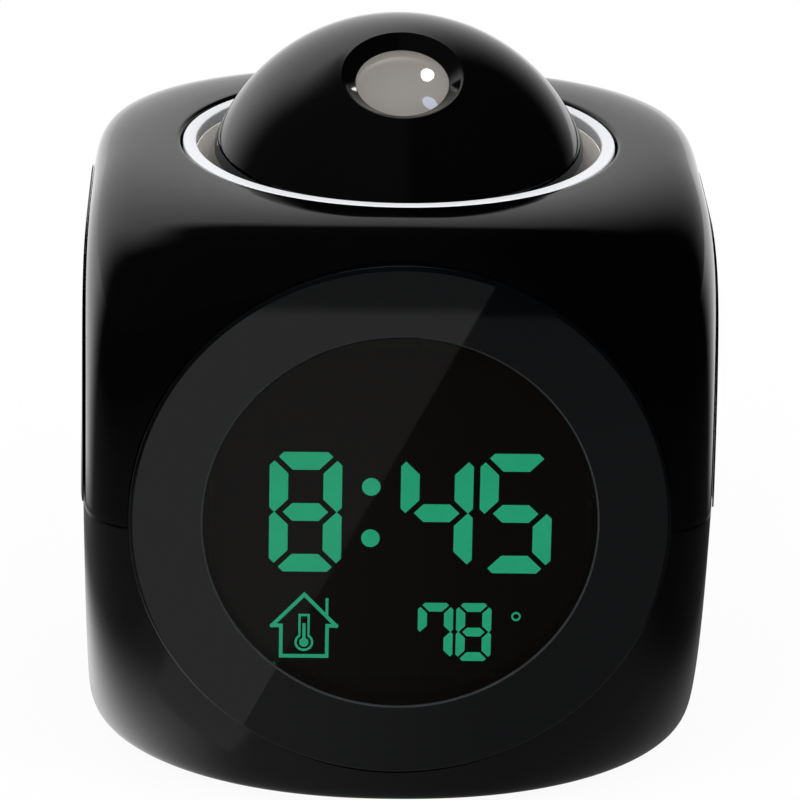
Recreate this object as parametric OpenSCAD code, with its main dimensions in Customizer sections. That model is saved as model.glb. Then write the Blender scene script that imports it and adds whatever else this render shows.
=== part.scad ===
// Projection alarm clock: a pillow-shaped case with a round display in front, a projector ball
// in a bowl in its top, and a key panel at the back. The ball tilts, and its bowl is the snooze
// button. Origin: centre of the surface the clock stands on. Front is -Y, right is +X, millimetres.

/* [Case] */
// Width of the case across its sides
case_width = 81.5; // [80.5:0.5:86]
// Depth of the case from front to back
case_depth = 80.9; // [80.5:0.5:86]
// Height of the lower shell, up to the seam
lower_height = 37.8; // [37:0.2:40]
// Height of the upper shell above the seam
upper_height = 40; // [39.6:0.2:43]
// Wall thickness of both shells
case_wall = 2.2; // [1.8:0.1:2.4]
// Corner exponent of the case outline at the seam, higher is squarer
seam_square = 8.3; // [7.6:0.1:9]
// Corner exponent of the case outline near the top
crown_square = 2.2; // [2:0.05:2.5]
// Corner exponent of the case outline near the base
base_square = 2.15; // [2:0.05:2.5]
// Roundness exponent of the top edge, higher is sharper
crown_edge = 11; // [10:0.5:14]
// Roundness exponent of the bottom edge, higher is sharper
base_edge = 32; // [24:1:40]
// Thickness of the raised side panels
side_panel_thick = 0.2; // [0.15:0.05:0.6]
// Distance of a side panel's edges in from the case front and back
side_panel_inset = 10.45; // [10:0.05:16]
// Height of the side panels as a share of the upper shell's height
side_panel_share = 0.8; // [0.75:0.005:0.9]
// Rounding of the case edge round the projector head
opening_round = 0.5; // [0.3:0.1:1.2]

/* [Feet and case screws] */
// Height of the rubber feet below the case
foot_height = 0.8; // [0.5:0.1:1.4]
// Radius of a rubber foot
foot_r = 4.5; // [3.5:0.25:5]
// Distance of the feet from the middle, across
foot_x = 18; // [16:0.5:18.5]
// Distance of the feet from the middle, front to back
foot_y = 28; // [26.5:0.5:28.5]
// Distance of the screw posts in from the case sides
post_inset_x = 11.85; // [11.6:0.05:12.2]
// Distance of the screw posts in from the case front and back
post_inset_y = 17.25; // [17:0.05:17.5]
// Radius of the screw posts
post_r = 3.3; // [2.9:0.1:3.5]
// Length of a case screw's shank
screw_length = 22; // [19:0.5:24]

/* [Front] */
// Radius of the front bezel
bezel_r = 34.4; // [33.5:0.1:34.8]
// How far the bezel stands out from the case front
bezel_proud = 0.3; // [0.2:0.05:0.8]
// Height of the bezel's centre above the seam
bezel_rise = 1.5; // [1:0.1:2]
// Radius of the visible display window
window_r = 25; // [24:0.1:25.6]
// Thickness of the display window
window_thick = 2; // [1.6:0.1:2.4]
// Width of the LCD glass
lcd_width = 45; // [42:0.5:47]
// Height of the LCD glass
lcd_height = 40; // [38:0.5:42]
// Thickness of the LCD glass
lcd_thick = 2; // [1.6:0.1:2.2]
// Thickness of the light guide
guide_thick = 2.4; // [1.8:0.1:2.8]
// Height of the large digits
digit_height = 16.25; // [14:0.25:17]
// Width of the large digits
digit_width = 9.2; // [8.5:0.1:9.6]
// Stroke width of the large digits
digit_stroke = 2.37; // [1.6:0.05:2.6]

/* [Head] */
// Width of the case top beside the projector ball, where it is narrowest
ball_margin = 14.5; // [14.3:0.05:14.9]
// Depth of the ball's centre below the top of the ring
ball_sink = 9.45; // [8.6:0.05:10]
// Wall thickness of the ball
ball_wall = 1.6; // [1.3:0.1:2]
// Gap between ball and bowl
bowl_gap = 0.6; // [0.5:0.05:0.8]
// Wall thickness of the bowl
bowl_wall = 1.4; // [1.2:0.1:1.5]
// Width of the trim ring
ring_width = 1.75; // [1.4:0.05:2]
// Depth of the trim ring below the top of the case
ring_drop = 0.3; // [0.2:0.05:0.9]
// Gap between trim ring and case
ring_gap = 0.35; // [0.3:0.05:0.6]
// Travel of the head when it is pressed
head_travel = 1.2; // [0.8:0.1:1.4]
// Elevation of the lens axis above the horizontal, at rest
lens_elevation = 62; // [58:0.5:68]
// Radius of the projection lens
lens_r = 6; // [5.5:0.1:6.4]
// Radius of the recess around the lens, at the ball's surface
recess_r = 7.75; // [7.4:0.05:8.2]
// Height of the ball's split plane above its centre
split_rise = 10.4; // [9.8:0.1:11]
// Forward lean of the ball's split plane
split_lean = 5.5; // [4:0.5:7]
// Radius of the ball's pivot pins
pivot_r = 2; // [1.6:0.1:2.2]

/* [Rear] */
// Radius of the rear panel
panel_r = 27; // [26.6:0.1:27.5]
// How far the rear panel stands out from the case
panel_proud = 0.2; // [0.1:0.05:0.5]
// Width of a key
key_width = 8; // [7:0.1:8.4]
// Height of a key
key_height = 4.5; // [4:0.1:4.8]
// Distance between the keys
key_pitch = 10; // [9.8:0.1:10.2]
// Travel of a key
key_travel = 0.6; // [0.4:0.05:0.7]
// Travel of the alarm slide switch
slider_travel = 3; // [2.4:0.1:3.2]
// Radius of the speaker
speaker_r = 10.8; // [10:0.1:11]
// Radius of a speaker grille hole
grille_hole_r = 0.8; // [0.6:0.05:0.9]

/* [Battery] */
// Radius of an AAA cell
cell_r = 5.25; // [5.2:0.05:5.25]
// Length of an AAA cell
cell_length = 44.5; // [44:0.1:44.6]
// Wall thickness of the battery tray
tray_wall = 1.2; // [1:0.1:1.4]
// Thickness of the battery door
door_thick = 1.8; // [1.5:0.1:2]

/* [Hidden] */
$fn = 64;
cut = 1;          // how far a cutting shape runs past what it cuts
seat_gap = 0.05;  // clearance between two pieces that sit together
slip = 0.2;       // clearance around a piece that slides or lifts out by hand

// Heights of the case
seam_z = foot_height + lower_height;
case_top = seam_z + upper_height;
half_w = case_width / 2;
half_d = case_depth / 2;
ball_r = min(half_w, half_d) - ball_margin;
side_panel_height = side_panel_share * upper_height;
side_panel_reach = half_d - side_panel_inset;
floor_z = foot_height + case_wall;
post_x = half_w - post_inset_x;
post_y = half_d - post_inset_y;

// Head, from the case top down
ring_top = case_top - ring_drop;
ring_height = 1.6;
ball_z = ring_top - ball_sink;
bowl_inner_r = ball_r + bowl_gap;
bowl_outer_r = bowl_inner_r + bowl_wall;
bowl_top = ring_top - ring_height;
ring_inner_r = bowl_inner_r + 0.05;
ring_outer_r = ring_inner_r + ring_width;
head_opening_r = ring_outer_r + ring_gap;

// Chassis plate under the bowl, clamped between the posts of both shells
bowl_floor_gap = 2.9;
chassis_thick = 2;
chassis_top = ball_z - bowl_outer_r - bowl_floor_gap;
chassis_z = chassis_top - chassis_thick;
chassis_edge = 4.2;
chassis_lead_r = 7;
screw_r = 1.15;
screw_head_r = 2.3;
screw_head_h = 1.8;
post_pilot_r = screw_r + seat_gap;
screw_seat_z = chassis_z - 10;
counterbore_r = screw_head_r + slip;
post_top = seam_z + 0.9 * upper_height;

// Front stack, from the bezel's face inwards
bezel_z = seam_z + bezel_rise;
bezel_face_y = -half_d - bezel_proud;
bezel_web = 2.3;
bezel_skirt = 1.9;
bezel_back_y = bezel_face_y + 6.7;
window_step = 1;
window_flange = 1.5;
window_inset = 0.1;
lcd_y = bezel_face_y + bezel_web + seat_gap;
guide_y = lcd_y + lcd_thick + seat_gap;
board_y = guide_y + guide_thick + seat_gap;
board_thick = 1.6;
board_r = bezel_r - bezel_skirt - 0.3;
board_half_h = 24;
symbol_thick = 0.12;
frame_wall = 1.2;
board_post_x = 27.3;
board_post_z = 13;
board_post_r = 2;

// Head retainer, stops and legs
retainer_inner_r = bowl_outer_r + 0.5;
retainer_outer_r = retainer_inner_r + 2.75;
retainer_top = bowl_top - head_travel - 0.3;
retainer_z = ball_z + 0.65;
ear_thick = 2;
ear_r = 2.8;
ear_reach = retainer_outer_r + 2.7;
ear_angles = [90, 210, 330];
ear_boss_r = 2.4;
ear_boss_top = case_top - 2.6;
ear_screw_r = 0.75;
ear_screw_head_r = 1.6;
stop_r = retainer_outer_r - 1.45;
stop_thick = 2;
stop_top = retainer_z - slip;
leg_r = 2.4;
leg_reach = bowl_inner_r + 0.65;
leg_z = chassis_top + 8;
spring_wire_r = 0.3;
spring_r = 1.9;
spring_turns = 6;
spring_pin_r = 1.2;
spring_pin_h = leg_z - chassis_top - head_travel - 0.4;
bowl_lead_r = 9;
snooze_x = bowl_inner_r - 10.55;
switch_size = 6;
switch_height = 3;
plunger_r = 1.6;
plunger_gap = 0.05;
snooze_board_thick = 1.2;
snooze_board_l = 13;
snooze_board_w = 10;
snooze_switch_z = chassis_top + snooze_board_thick;
snooze_foot_z = snooze_switch_z + switch_height + 1.3;
snooze_foot_r = 2.2;

// Projector, measured along the lens axis from the ball's centre
lens_tilt = 90 - lens_elevation;
recess_rim_w = sqrt(ball_r * ball_r - recess_r * recess_r);
recess_depth = 1.5;
lens_rim_w = recess_rim_w - recess_depth;
recess_slope = (recess_r - lens_r - seat_gap) / recess_depth;
lens_dome = 1.3;
lens_dome_r = (lens_r * lens_r + lens_dome * lens_dome) / (2 * lens_dome);
lens_flange_r = lens_r + 0.6;
lens_flange_w = lens_rim_w - 1.8;
lens_back_w = lens_rim_w - 3.2;
barrel_r = lens_flange_r + 0.8;
barrel_front_w = lens_flange_w;
barrel_bore_r = lens_flange_r + seat_gap;
barrel_back_w = -4;
sleeve_r = barrel_r + 1.6;
sleeve_back_w = lens_rim_w - 7.5;
board_w = barrel_back_w - 1.4;
projector_board_r = 8.6;
ball_lead_r = 6;
bush_r = pivot_r + 2;
bush_depth = 3;
tongue_r = sqrt(pow(ball_r - ball_wall, 2) - split_rise * split_rise) - 0.2;

// Rear stack, from the panel's face inwards
panel_z = seam_z + 0.8;
panel_face_y = half_d + panel_proud;
panel_plate = 2.2;
panel_back_y = panel_face_y - panel_plate;
panel_skirt = 1.6;
panel_flange = 2;
panel_flange_y = panel_back_y - 1.05;
panel_flange_thick = 1.2;
key_z = panel_z + 9.1;
key_proud = 0.6;
key_flange = 0.7;
key_flange_thick = 0.8;
key_board_thick = 1.6;
key_board_y = panel_back_y - 8.05;
key_switch_y = key_board_y + key_board_thick;
key_switch_h = 3.4;
key_stem_y = key_switch_y + key_switch_h + 0.7;
key_stem_r = 1.2;
key_board_low = panel_z + 1.8;
key_post_x = 21;
key_post_z = panel_z + 4.2;
key_posts = [[-key_post_x, key_post_z], [key_post_x, key_post_z], [7, panel_z + 21.5]];
key_post_r = 1.8;
small_screw_r = 0.8;
small_head_r = 1.5;
small_head_h = 1;
slider_z = panel_z + 17.6;
slider_knob_w = 2.4;
slider_knob_h = 2;
slider_proud = 0.7;
speaker_z = panel_z - 9.9;
speaker_depth = 4.8;
magnet_r = 6.2;
magnet_depth = 3.6;
grille_rings = 3;
grille_pitch = 2.7;
usb_z = panel_z - 22.8;
usb_width = 7.4;
usb_height = 2.8;
usb_depth = 5.2;
usb_shell = 0.3;
usb_sink = 0.45;
power_board_thick = 1.6;
power_board_w = 14;
power_board_h = 6.4;
power_board_y = panel_face_y - usb_sink - usb_depth - power_board_thick;

// Battery compartment
cell_count = 3;
cell_pitch = 2 * cell_r + 0.6;
tray_half_l = cell_length / 2 + 3;
tray_half_w = (cell_count - 1) / 2 * cell_pitch + cell_r + 0.45;
cell_z = foot_height + door_thick + 0.4 + cell_r;
tray_top = cell_z + cell_r + 0.6 + tray_wall;
plate_thick = 0.4;
plate_side = 1.6 * cell_r;
nub_r = 1.9;
nub_height = 1;
hook_half = 2.7;
hook_x = 11;
hook_reach = 2;
hook_thick = 1;

// Faceting of the curved case surfaces
outline_points = 60;
crown_blend = 2.3;  // how late the corners of the upper shell turn round
base_blend = 0.96;  // the same for the lower shell
knee = 3;           // the rings close up above the share 1 - knee / edge of the height

// ---------------------------------------------------------------- shapes of the case surface

// Share of the breadth that is left at the share t of a shell's height
function breadth(t, edge) = pow(1 - pow(t, edge), 1 / edge);

// Corner exponent at the share t of a shell's height; a low blend rounds the corners sooner
function squareness(t, end_square, blend) = seam_square + (end_square - seam_square) * pow(t, blend);

// One point of a superellipse
function on_outline(ax, ay, n, angle) =
    let (c = cos(angle), s = sin(angle))
    [ax * sign(c) * pow(abs(c), 2 / n), ay * sign(s) * pow(abs(s), 2 / n)];

// A closed ring of points on a superellipse at height z
function outline(ax, ay, n, z) =
    [for (k = [0 : outline_points - 1])
        let (p = on_outline(ax, ay, n, 360 * k / outline_points)) [p.x, p.y, z]];

// Shares of the height for the rings: even up the side, then close together over the edge
function height_shares(edge, last, side_steps, edge_steps) =
    let (side = 1 - knee / edge, a0 = asin(pow(side, edge / 2)), a1 = acos(pow(last, edge / 2)))
    concat([for (i = [0 : side_steps - 1]) side * i / side_steps],
        [for (i = [0 : edge_steps]) pow(sin(a0 + (a1 - a0) * i / edge_steps), 2 / edge)]);

// Rings from the seam to where the breadth has shrunk to the share last; inset moves them inwards
function shell_rings(inset, height, up, end_square, blend, edge, last, side_steps, edge_steps) =
    [for (t = height_shares(edge, last, side_steps, edge_steps))
        let (s = breadth(t, edge))
        outline((half_w - inset) * s, (half_d - inset) * s, squareness(t, end_square, blend),
            seam_z + up * (height - inset) * t)];

function reversed(list) = [for (i = [len(list) - 1 : -1 : 0]) list[i]];

function flat_list(lists) = [for (l = lists) for (p = l) p];

// Triangles between ring i and ring j of n points each
function band(i, j, n) = [for (k = [0 : n - 1])
    let (a = i * n + k, b = i * n + (k + 1) % n, c = j * n + (k + 1) % n, d = j * n + k)
    each [[a, c, b], [a, d, c]]];

// A solid skinned over a closed loop of rings, such as a shell with an opening at both ends
module ring_loop(rings) {
    n = len(rings[0]);
    polyhedron(flat_list(rings),
        [for (i = [0 : len(rings) - 1]) each band(i, (i + 1) % len(rings), n)]);
}

// A solid skinned over a row of rings and closed by a flat face at each end
module ring_stack(rings) {
    n = len(rings[0]);
    last = len(rings) - 1;
    polyhedron(flat_list(rings),
        concat([[for (k = [0 : n - 1]) k]],
            [for (i = [0 : last - 1]) each band(i, i + 1, n)],
            [[for (k = [n - 1 : -1 : 0]) last * n + k]]));
}

// ---------------------------------------------------------------- small shared shapes

// Turns the children's +Z towards the front or the back
module facing_front(y, z) { translate([0, y, z]) rotate([90, 0, 0]) children(); }
module facing_back(y, z) { translate([0, y, z]) rotate([-90, 0, 0]) children(); }

// A box centred on x and z, from y0 to y1
module slab(w, h, y0, y1) { translate([-w / 2, y0, -h / 2]) cube([w, y1 - y0, h]); }

// A box centred on x and y, from z0 to z1
module block(w, d, z0, z1) { translate([-w / 2, -d / 2, z0]) cube([w, d, z1 - z0]); }

// An upright cylinder from z0 to z1
module rod(r, z0, z1) { translate([0, 0, z0]) cylinder(r = r, h = z1 - z0); }

// An upright tube from z0 to z1
module pipe(r_out, r_in, z0, z1) {
    difference() {
        rod(r_out, z0, z1);
        rod(r_in, z0 - cut, z1 + cut);
    }
}

// Copies the children to the four places (+-x, +-y)
module at_corners(x, y) { for (i = [-1, 1], j = [-1, 1]) translate([i * x, j * y, 0]) children(); }

// Copies the children around the head's axis
module around_head(reach) { for (a = ear_angles) rotate(a) translate([reach, 0, 0]) children(); }

// Turns the children's +Z along the projector's axis, from the ball's centre
module along_lens() { translate([0, 0, ball_z]) rotate([lens_tilt, 0, 0]) children(); }

// Everything above the ball's split plane moved by shift along its normal
module above_split(shift) {
    translate([0, 0, ball_z]) rotate([split_lean, 0, 0])
        translate([0, 0, split_rise + shift]) block(3 * ball_r, 3 * ball_r, 0, 2 * ball_r);
}

// A screw with its head's underside at z = 0 and its shank upwards
module screw_up(r, length, head_r, head_h) {
    rod(r, 0, length);
    difference() {
        rod(head_r, -head_h, 0);
        translate([0, 0, -head_h]) for (a = [0, 90]) rotate(a)
            block(head_r * 1.2, head_r * 0.3, -cut, head_h / 2);
    }
}

// Points of a smooth curve through the path's points
function smooth(p, steps) = concat([for (i = [0 : len(p) - 2], k = [0 : steps - 1])
    let (a = p[max(i - 1, 0)], b = p[i], c = p[i + 1], d = p[min(i + 2, len(p) - 1)], t = k / steps)
    (2 * b + (c - a) * t + (2 * a - 5 * b + 4 * c - d) * t * t + (3 * b - a - 3 * c + d) * t * t * t) / 2],
    [p[len(p) - 1]]);

// A ring of points square to the path at its point i; side is never along the path
function wire_ring(p, i, r, sides, side) =
    let (d = p[min(i + 1, len(p) - 1)] - p[max(i - 1, 0)], c = cross(d, side), u = c / norm(c),
        w = cross(d, u), v = w / norm(w))
    [for (k = [0 : sides - 1]) let (a = 360 * k / sides) p[i] + r * (cos(a) * u + sin(a) * v)];

// A wire of radius r swept along a path
module wire(path, r, sides, side) {
    ring_stack([for (i = [0 : len(path) - 1]) wire_ring(path, i, r, sides, side)]);
}

// A coil spring standing on z0, with radius r0 at its foot and r1 at its head
module coil(r0, r1, z0, z1, turns, wire_r) {
    steps = 12 * turns;
    wire([for (i = [0 : steps])
        let (t = i / steps, r = r0 + (r1 - r0) * t)
        [r * cos(360 * turns * t), r * sin(360 * turns * t), z0 + wire_r + (z1 - z0 - 2 * wire_r) * t]],
        wire_r, 6, [0, 0, 1]);
}

// ---------------------------------------------------------------- case

module front_opening() { facing_front(-half_d + 8, bezel_z) cylinder(r = bezel_r + seat_gap, h = 20); }

module rear_opening() { facing_back(half_d - 8, panel_z) cylinder(r = panel_r + seat_gap, h = 20); }

// Glossy upper half: the top wall has the round head opening, four posts take the case screws,
// and three bosses under the top wall take the head retainer
module upper_shell() {
    last = 0.745;
    outer = shell_rings(0, upper_height, 1, crown_square, crown_blend, crown_edge, last, 6, 9);
    inner = shell_rings(case_wall, upper_height, 1, crown_square, crown_blend, crown_edge, last + 0.035,
        4, 6);
    opening_edge = [for (a = [0, 45, 90]) let (r = head_opening_r + opening_round * (1 - sin(a)))
        outline(r, r, 2, case_top - 0.1 - opening_round * (1 - cos(a)))];
    ceiling_ring = outline(head_opening_r, head_opening_r, 2, case_top - case_wall - 0.05);
    color([0.03, 0.03, 0.035])
    difference() {
        union() {
            ring_loop(concat(outer, opening_edge, [ceiling_ring], reversed(inner)));
            at_corners(post_x, post_y) rod(post_r, chassis_top, post_top);
            around_head(ear_reach) rod(ear_boss_r, retainer_z + ear_thick, ear_boss_top);
        }
        front_opening();
        rear_opening();
        at_corners(post_x, post_y) rod(post_pilot_r, chassis_top - cut, chassis_top + 14);
        around_head(ear_reach) rod(ear_screw_r, retainer_z, ear_boss_top - 0.6);
    }
}

// Lower half: a cup with the battery opening, the pockets for the feet and the screw posts
module lower_shell() {
    last = 0.82;
    outer = shell_rings(0, lower_height, -1, base_square, base_blend, base_edge, last, 6, 7);
    inner = shell_rings(case_wall, lower_height, -1, base_square, base_blend, base_edge, last, 4, 5);
    color([0.035, 0.035, 0.04])
    difference() {
        union() {
            ring_stack(concat(reversed(outer), inner));
            at_corners(post_x, post_y) rod(post_r + 0.3, floor_z - 0.5, chassis_z);
        }
        front_opening();
        rear_opening();
        block(2 * tray_half_l, 2 * tray_half_w, 0, floor_z + cut);
        at_corners(foot_x, foot_y) rod(foot_r + seat_gap, -cut, foot_height + 1.2);
        at_corners(post_x, post_y) rod(counterbore_r, -cut, screw_seat_z);
        at_corners(post_x, post_y) rod(screw_r + slip, screw_seat_z - cut, chassis_z + cut);
    }
}

// Thin raised panel with an arched top that follows the upper shell's side
module side_panel(side) {
    rows = 13;
    columns = 20;
    lift = 0.08;
    function panel_point(u, v, lift) =
        let (rise = side_panel_height * v, t = rise / upper_height, s = breadth(t, crown_edge),
            n = squareness(t, crown_square, crown_blend),
            y = u * side_panel_reach * pow(1 - pow(0.985 * v, 3), 1 / 3))
        [side * (half_w * s * pow(1 - pow(abs(y) / (half_d * s), n), 1 / n) + lift), y, seam_z + 0.1 + rise];
    function skin(lift) = [for (i = [0 : rows], j = [0 : columns])
        panel_point(2 * j / columns - 1, i / rows, lift)];
    n = columns + 1;
    base = (rows + 1) * n;
    grid = [for (i = [0 : rows - 1], j = [0 : columns - 1])
        let (a = i * n + j) each [[a, a + n, a + n + 1], [a, a + n + 1, a + 1]]];
    edge = concat([for (j = [0 : columns]) j], [for (i = [1 : rows]) i * n + columns],
        [for (j = [columns - 1 : -1 : 0]) rows * n + j], [for (i = [rows - 1 : -1 : 1]) i * n]);
    rim = [for (k = [0 : len(edge) - 1])
        let (a = edge[k], b = edge[(k + 1) % len(edge)]) each [[a, b, base + b], [a, base + b, base + a]]];
    faces = concat(grid, [for (f = grid) [base + f[0], base + f[2], base + f[1]]], rim);
    color([0.03, 0.03, 0.035])
    polyhedron(concat(skin(side_panel_thick + lift), skin(lift)),
        side > 0 ? faces : [for (f = faces) reversed(f)]);
}

module side_panel_left() { side_panel(-1); }

module side_panel_right() { side_panel(1); }

module rubber_feet() {
    color([0.1, 0.1, 0.1]) at_corners(foot_x, foot_y) rod(foot_r, 0, foot_height + 1.2);
}

module case_screws() {
    color("silver") at_corners(post_x, post_y) translate([0, 0, screw_seat_z])
        screw_up(screw_r, screw_length, screw_head_r, screw_head_h);
}

// Plate across the middle of the case: it carries the snooze board and the three return springs
module inner_chassis() {
    color([0.16, 0.16, 0.17])
    difference() {
        union() {
            block(2 * (post_x + chassis_edge), 2 * (post_y + chassis_edge), chassis_z, chassis_top);
            around_head(leg_reach) rod(spring_pin_r, chassis_z, chassis_top + spring_pin_h);
        }
        rod(chassis_lead_r, chassis_z - cut, chassis_top + cut);
        at_corners(post_x, post_y) rod(screw_r + slip, chassis_z - cut, chassis_top + cut);
    }
}

// ---------------------------------------------------------------- front display

// Flat round bezel: a thick front web with the window opening, a skirt through the case wall,
// four tabs behind the wall, and four posts that carry the main board
module front_bezel() {
    depth = bezel_back_y - bezel_face_y;
    chamfer = 0.5;
    rim = 0.25;
    color([0.1, 0.11, 0.12])
    facing_back(bezel_face_y, bezel_z) {
        rotate_extrude() polygon([[window_r, rim], [window_r + rim, 0], [bezel_r - chamfer, 0],
            [bezel_r, chamfer], [bezel_r, depth], [bezel_r - bezel_skirt, depth],
            [bezel_r - bezel_skirt, bezel_web], [window_r + window_flange, bezel_web],
            [window_r + window_flange, window_step], [window_r, window_step]]);
        for (a = [45 : 90 : 315]) rotate(a) translate([bezel_r + 0.6, 0, depth - 0.6])
            cube([2.4, 8, 1.2], center = true);
        for (i = [-1, 1], j = [-1, 1]) translate([i * board_post_x, j * board_post_z, bezel_web - 0.5])
            difference() {
                cylinder(r = board_post_r, h = board_y - bezel_face_y - bezel_web + 0.5);
                translate([0, 0, 1]) cylinder(r = small_screw_r, h = 20);
            }
    }
}

// Smoked window with a stepped rim that sits behind the bezel's lip
module display_window() {
    back = window_thick + window_inset;
    color([0.12, 0.1, 0.09, 0.6])
    facing_back(bezel_face_y, bezel_z)
        rotate_extrude() polygon([[0, window_inset], [window_r - seat_gap, window_inset],
            [window_r - seat_gap, window_step + seat_gap],
            [window_r + window_flange - seat_gap, window_step + seat_gap],
            [window_r + window_flange - seat_gap, back], [0, back]]);
}

// Outlines of the seven segments of one digit, from its lower left corner
seg_c = 0.265 * digit_stroke;
seg_g = 0.23 * digit_stroke;
function upright_segment() =
    let (w = digit_stroke, h = digit_height)
    [[0, h / 2 + seg_c], [seg_c, h / 2], [w, h / 2 + w - seg_c], [w, h - w - seg_g],
        [seg_c, h - seg_c - seg_g], [0, h - 2 * seg_c - seg_g]];
function top_segment() =
    let (t = digit_stroke, w = digit_width, h = digit_height)
    [[seg_c + seg_g, h - seg_c], [2 * seg_c + seg_g, h], [w - 2 * seg_c - seg_g, h],
        [w - seg_c - seg_g, h - seg_c], [w - t - seg_g, h - t], [t + seg_g, h - t]];
function middle_segment() =
    let (t = digit_stroke, w = digit_width, h = digit_height)
    [[t / 2 + seg_g, h / 2], [t + seg_g, (h + t) / 2], [w - t - seg_g, (h + t) / 2],
        [w - t / 2 - seg_g, h / 2], [w - t - seg_g, (h - t) / 2], [t + seg_g, (h - t) / 2]];

// Digit centred on the origin; lit names the segments in the usual order a to g
module digit(lit) {
    function has(s) = len(search(s, lit)) > 0;
    module flip_x() { translate([digit_width, 0]) mirror([1, 0]) children(); }
    module flip_y() { translate([0, digit_height]) mirror([0, 1]) children(); }
    translate([-digit_width / 2, -digit_height / 2]) {
        if (has("a")) polygon(top_segment());
        if (has("b")) flip_x() polygon(upright_segment());
        if (has("c")) flip_x() flip_y() polygon(upright_segment());
        if (has("d")) flip_y() polygon(top_segment());
        if (has("e")) flip_y() polygon(upright_segment());
        if (has("f")) polygon(upright_segment());
        if (has("g")) polygon(middle_segment());
    }
}

// A straight stroke between two points, as a thin rectangle
module stroke(p, q, w) {
    d = q - p;
    translate(p) rotate(atan2(d.y, d.x)) translate([-w / 2, -w / 2]) square([norm(d) + w, w]);
}

// House outline with a chimney, and a thermometer inside
module house_icon() {
    w = 0.46;
    thin = 0.28;
    eave = 4.1;
    wall = 2.95;
    foot = -4.2;
    apex = [0, 4.3];
    chimney_x = wall - 0.05;
    bulb = [0, -2.3];
    bulb_r = 1.2;
    stem_w = 1.44;
    stem_h = 3.9;
    stroke([-eave, 0], apex, w);
    stroke(apex, [eave, 0], w);
    for (i = [-1, 1]) {
        stroke([i * eave, 0], [i * wall, 0], w);
        stroke([i * wall, 0], [i * wall, foot], w);
    }
    stroke([-wall, foot], [wall, foot], w);
    stroke([chimney_x, 1.35], [chimney_x, 3.6], 0.8 * w);
    difference() {
        union() {
            translate([-stem_w / 2, bulb.y]) square([stem_w, stem_h]);
            translate(bulb) circle(r = bulb_r, $fn = 32);
        }
        translate([thin - stem_w / 2, bulb.y]) square([stem_w - 2 * thin, stem_h - thin]);
        translate(bulb) circle(r = bulb_r - thin, $fn = 32);
    }
    translate(bulb) circle(r = bulb_r / 2, $fn = 32);
    stroke(bulb, [0, 0.1], 0.4);
}

// Lit symbols on the front face of the LCD glass
module display_symbols() {
    left_x = -12;
    time_y = 0.7;
    small_y = -15.6;
    small = 0.49;
    dot_r = 1.18;
    degree_r = 0.6;
    color([0.13, 0.61, 0.46])
    facing_front(lcd_y, bezel_z) linear_extrude(symbol_thick) {
        translate([left_x, time_y]) digit("abcdefg");
        translate([4.65, time_y]) digit("bcfg");
        translate([14.7, time_y]) digit("acdfg");
        for (i = [-1, 1]) translate([-3.7, time_y + i * 3.5]) circle(r = dot_r, $fn = 32);
        translate([left_x, -14.9]) house_icon();
        translate([4.8, small_y]) scale(small) digit("abcf");
        translate([9.7, small_y]) scale(small) digit("abcdefg");
        translate([15.1, -13.4]) difference() {
            circle(r = degree_r, $fn = 32);
            circle(r = degree_r - 0.22, $fn = 32);
        }
    }
}

module lcd_glass() {
    color([0.08, 0.09, 0.08])
    translate([0, 0, bezel_z]) slab(lcd_width, lcd_height, lcd_y, lcd_y + lcd_thick);
}

// Frame around the LCD glass and the light guide
module lcd_frame() {
    color("white")
    translate([0, 0, bezel_z]) difference() {
        slab(lcd_width + 2 * (frame_wall + seat_gap), lcd_height + 2 * (frame_wall + seat_gap),
            lcd_y, board_y - seat_gap);
        slab(lcd_width + 2 * seat_gap, lcd_height + 2 * seat_gap, lcd_y - cut, board_y + cut);
    }
}

module light_guide() {
    color([0.8, 0.9, 0.88])
    translate([0, 0, bezel_z]) slab(lcd_width, lcd_height - 8, guide_y, guide_y + guide_thick);
}

// Rubber contact strips between the glass and the board, above and below the light guide
module zebra_strips() {
    color([0.85, 0.5, 0.55])
    for (i = [-1, 1]) translate([0, 0, bezel_z + i * (lcd_height / 2 - 1.6)])
        slab(lcd_width - 4, 2, lcd_y + lcd_thick, board_y);
}

module main_board() {
    color([0.05, 0.3, 0.18])
    facing_back(board_y, bezel_z) linear_extrude(board_thick) difference() {
        intersection() {
            circle(r = board_r);
            square([3 * board_r, 2 * board_half_h], center = true);
        }
        for (i = [-1, 1], j = [-1, 1]) translate([i * board_post_x, j * board_post_z])
            circle(r = small_screw_r + 0.15);
    }
}

// Side-looking LEDs beside the light guide, on the front of the board
module backlight_leds() {
    color([0.9, 0.95, 0.85])
    for (i = [-1, 1], j = [-1, 0, 1]) translate([i * (lcd_width / 2 - 3) * 0.8, 0, bezel_z + j * 9])
        slab(1.6, 3, guide_y + guide_thick, board_y);
}

// Controller chip, crystal, capacitors and lead connectors on the back of the board
module board_parts() {
    back = board_y + board_thick;
    color([0.08, 0.08, 0.09])
    translate([0, 0, bezel_z]) {
        translate([3, 0, 4]) slab(10, 10, back, back + 1.3);
        translate([-12, 0, 8]) slab(7, 3, back, back + 1.3);
        for (i = [0 : 3]) translate([12 + 3 * i, 0, 12]) slab(1.6, 0.9, back, back + 0.8);
        for (i = [0 : 2]) translate([-16 + 3 * i, 0, 2]) slab(1.6, 0.9, back, back + 0.8);
        for (x = [-18, -7, 0, 8]) translate([x, 0, connector_z - bezel_z]) slab(5, 4, back, back + 1.3);
    }
}

module board_screws() {
    color("silver")
    for (i = [-1, 1], j = [-1, 1])
        translate([i * board_post_x, board_y + board_thick, bezel_z + j * board_post_z])
            rotate([90, 0, 0]) screw_up(small_screw_r, board_thick + 2.4, small_head_r, small_head_h);
}

// ---------------------------------------------------------------- head

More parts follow.
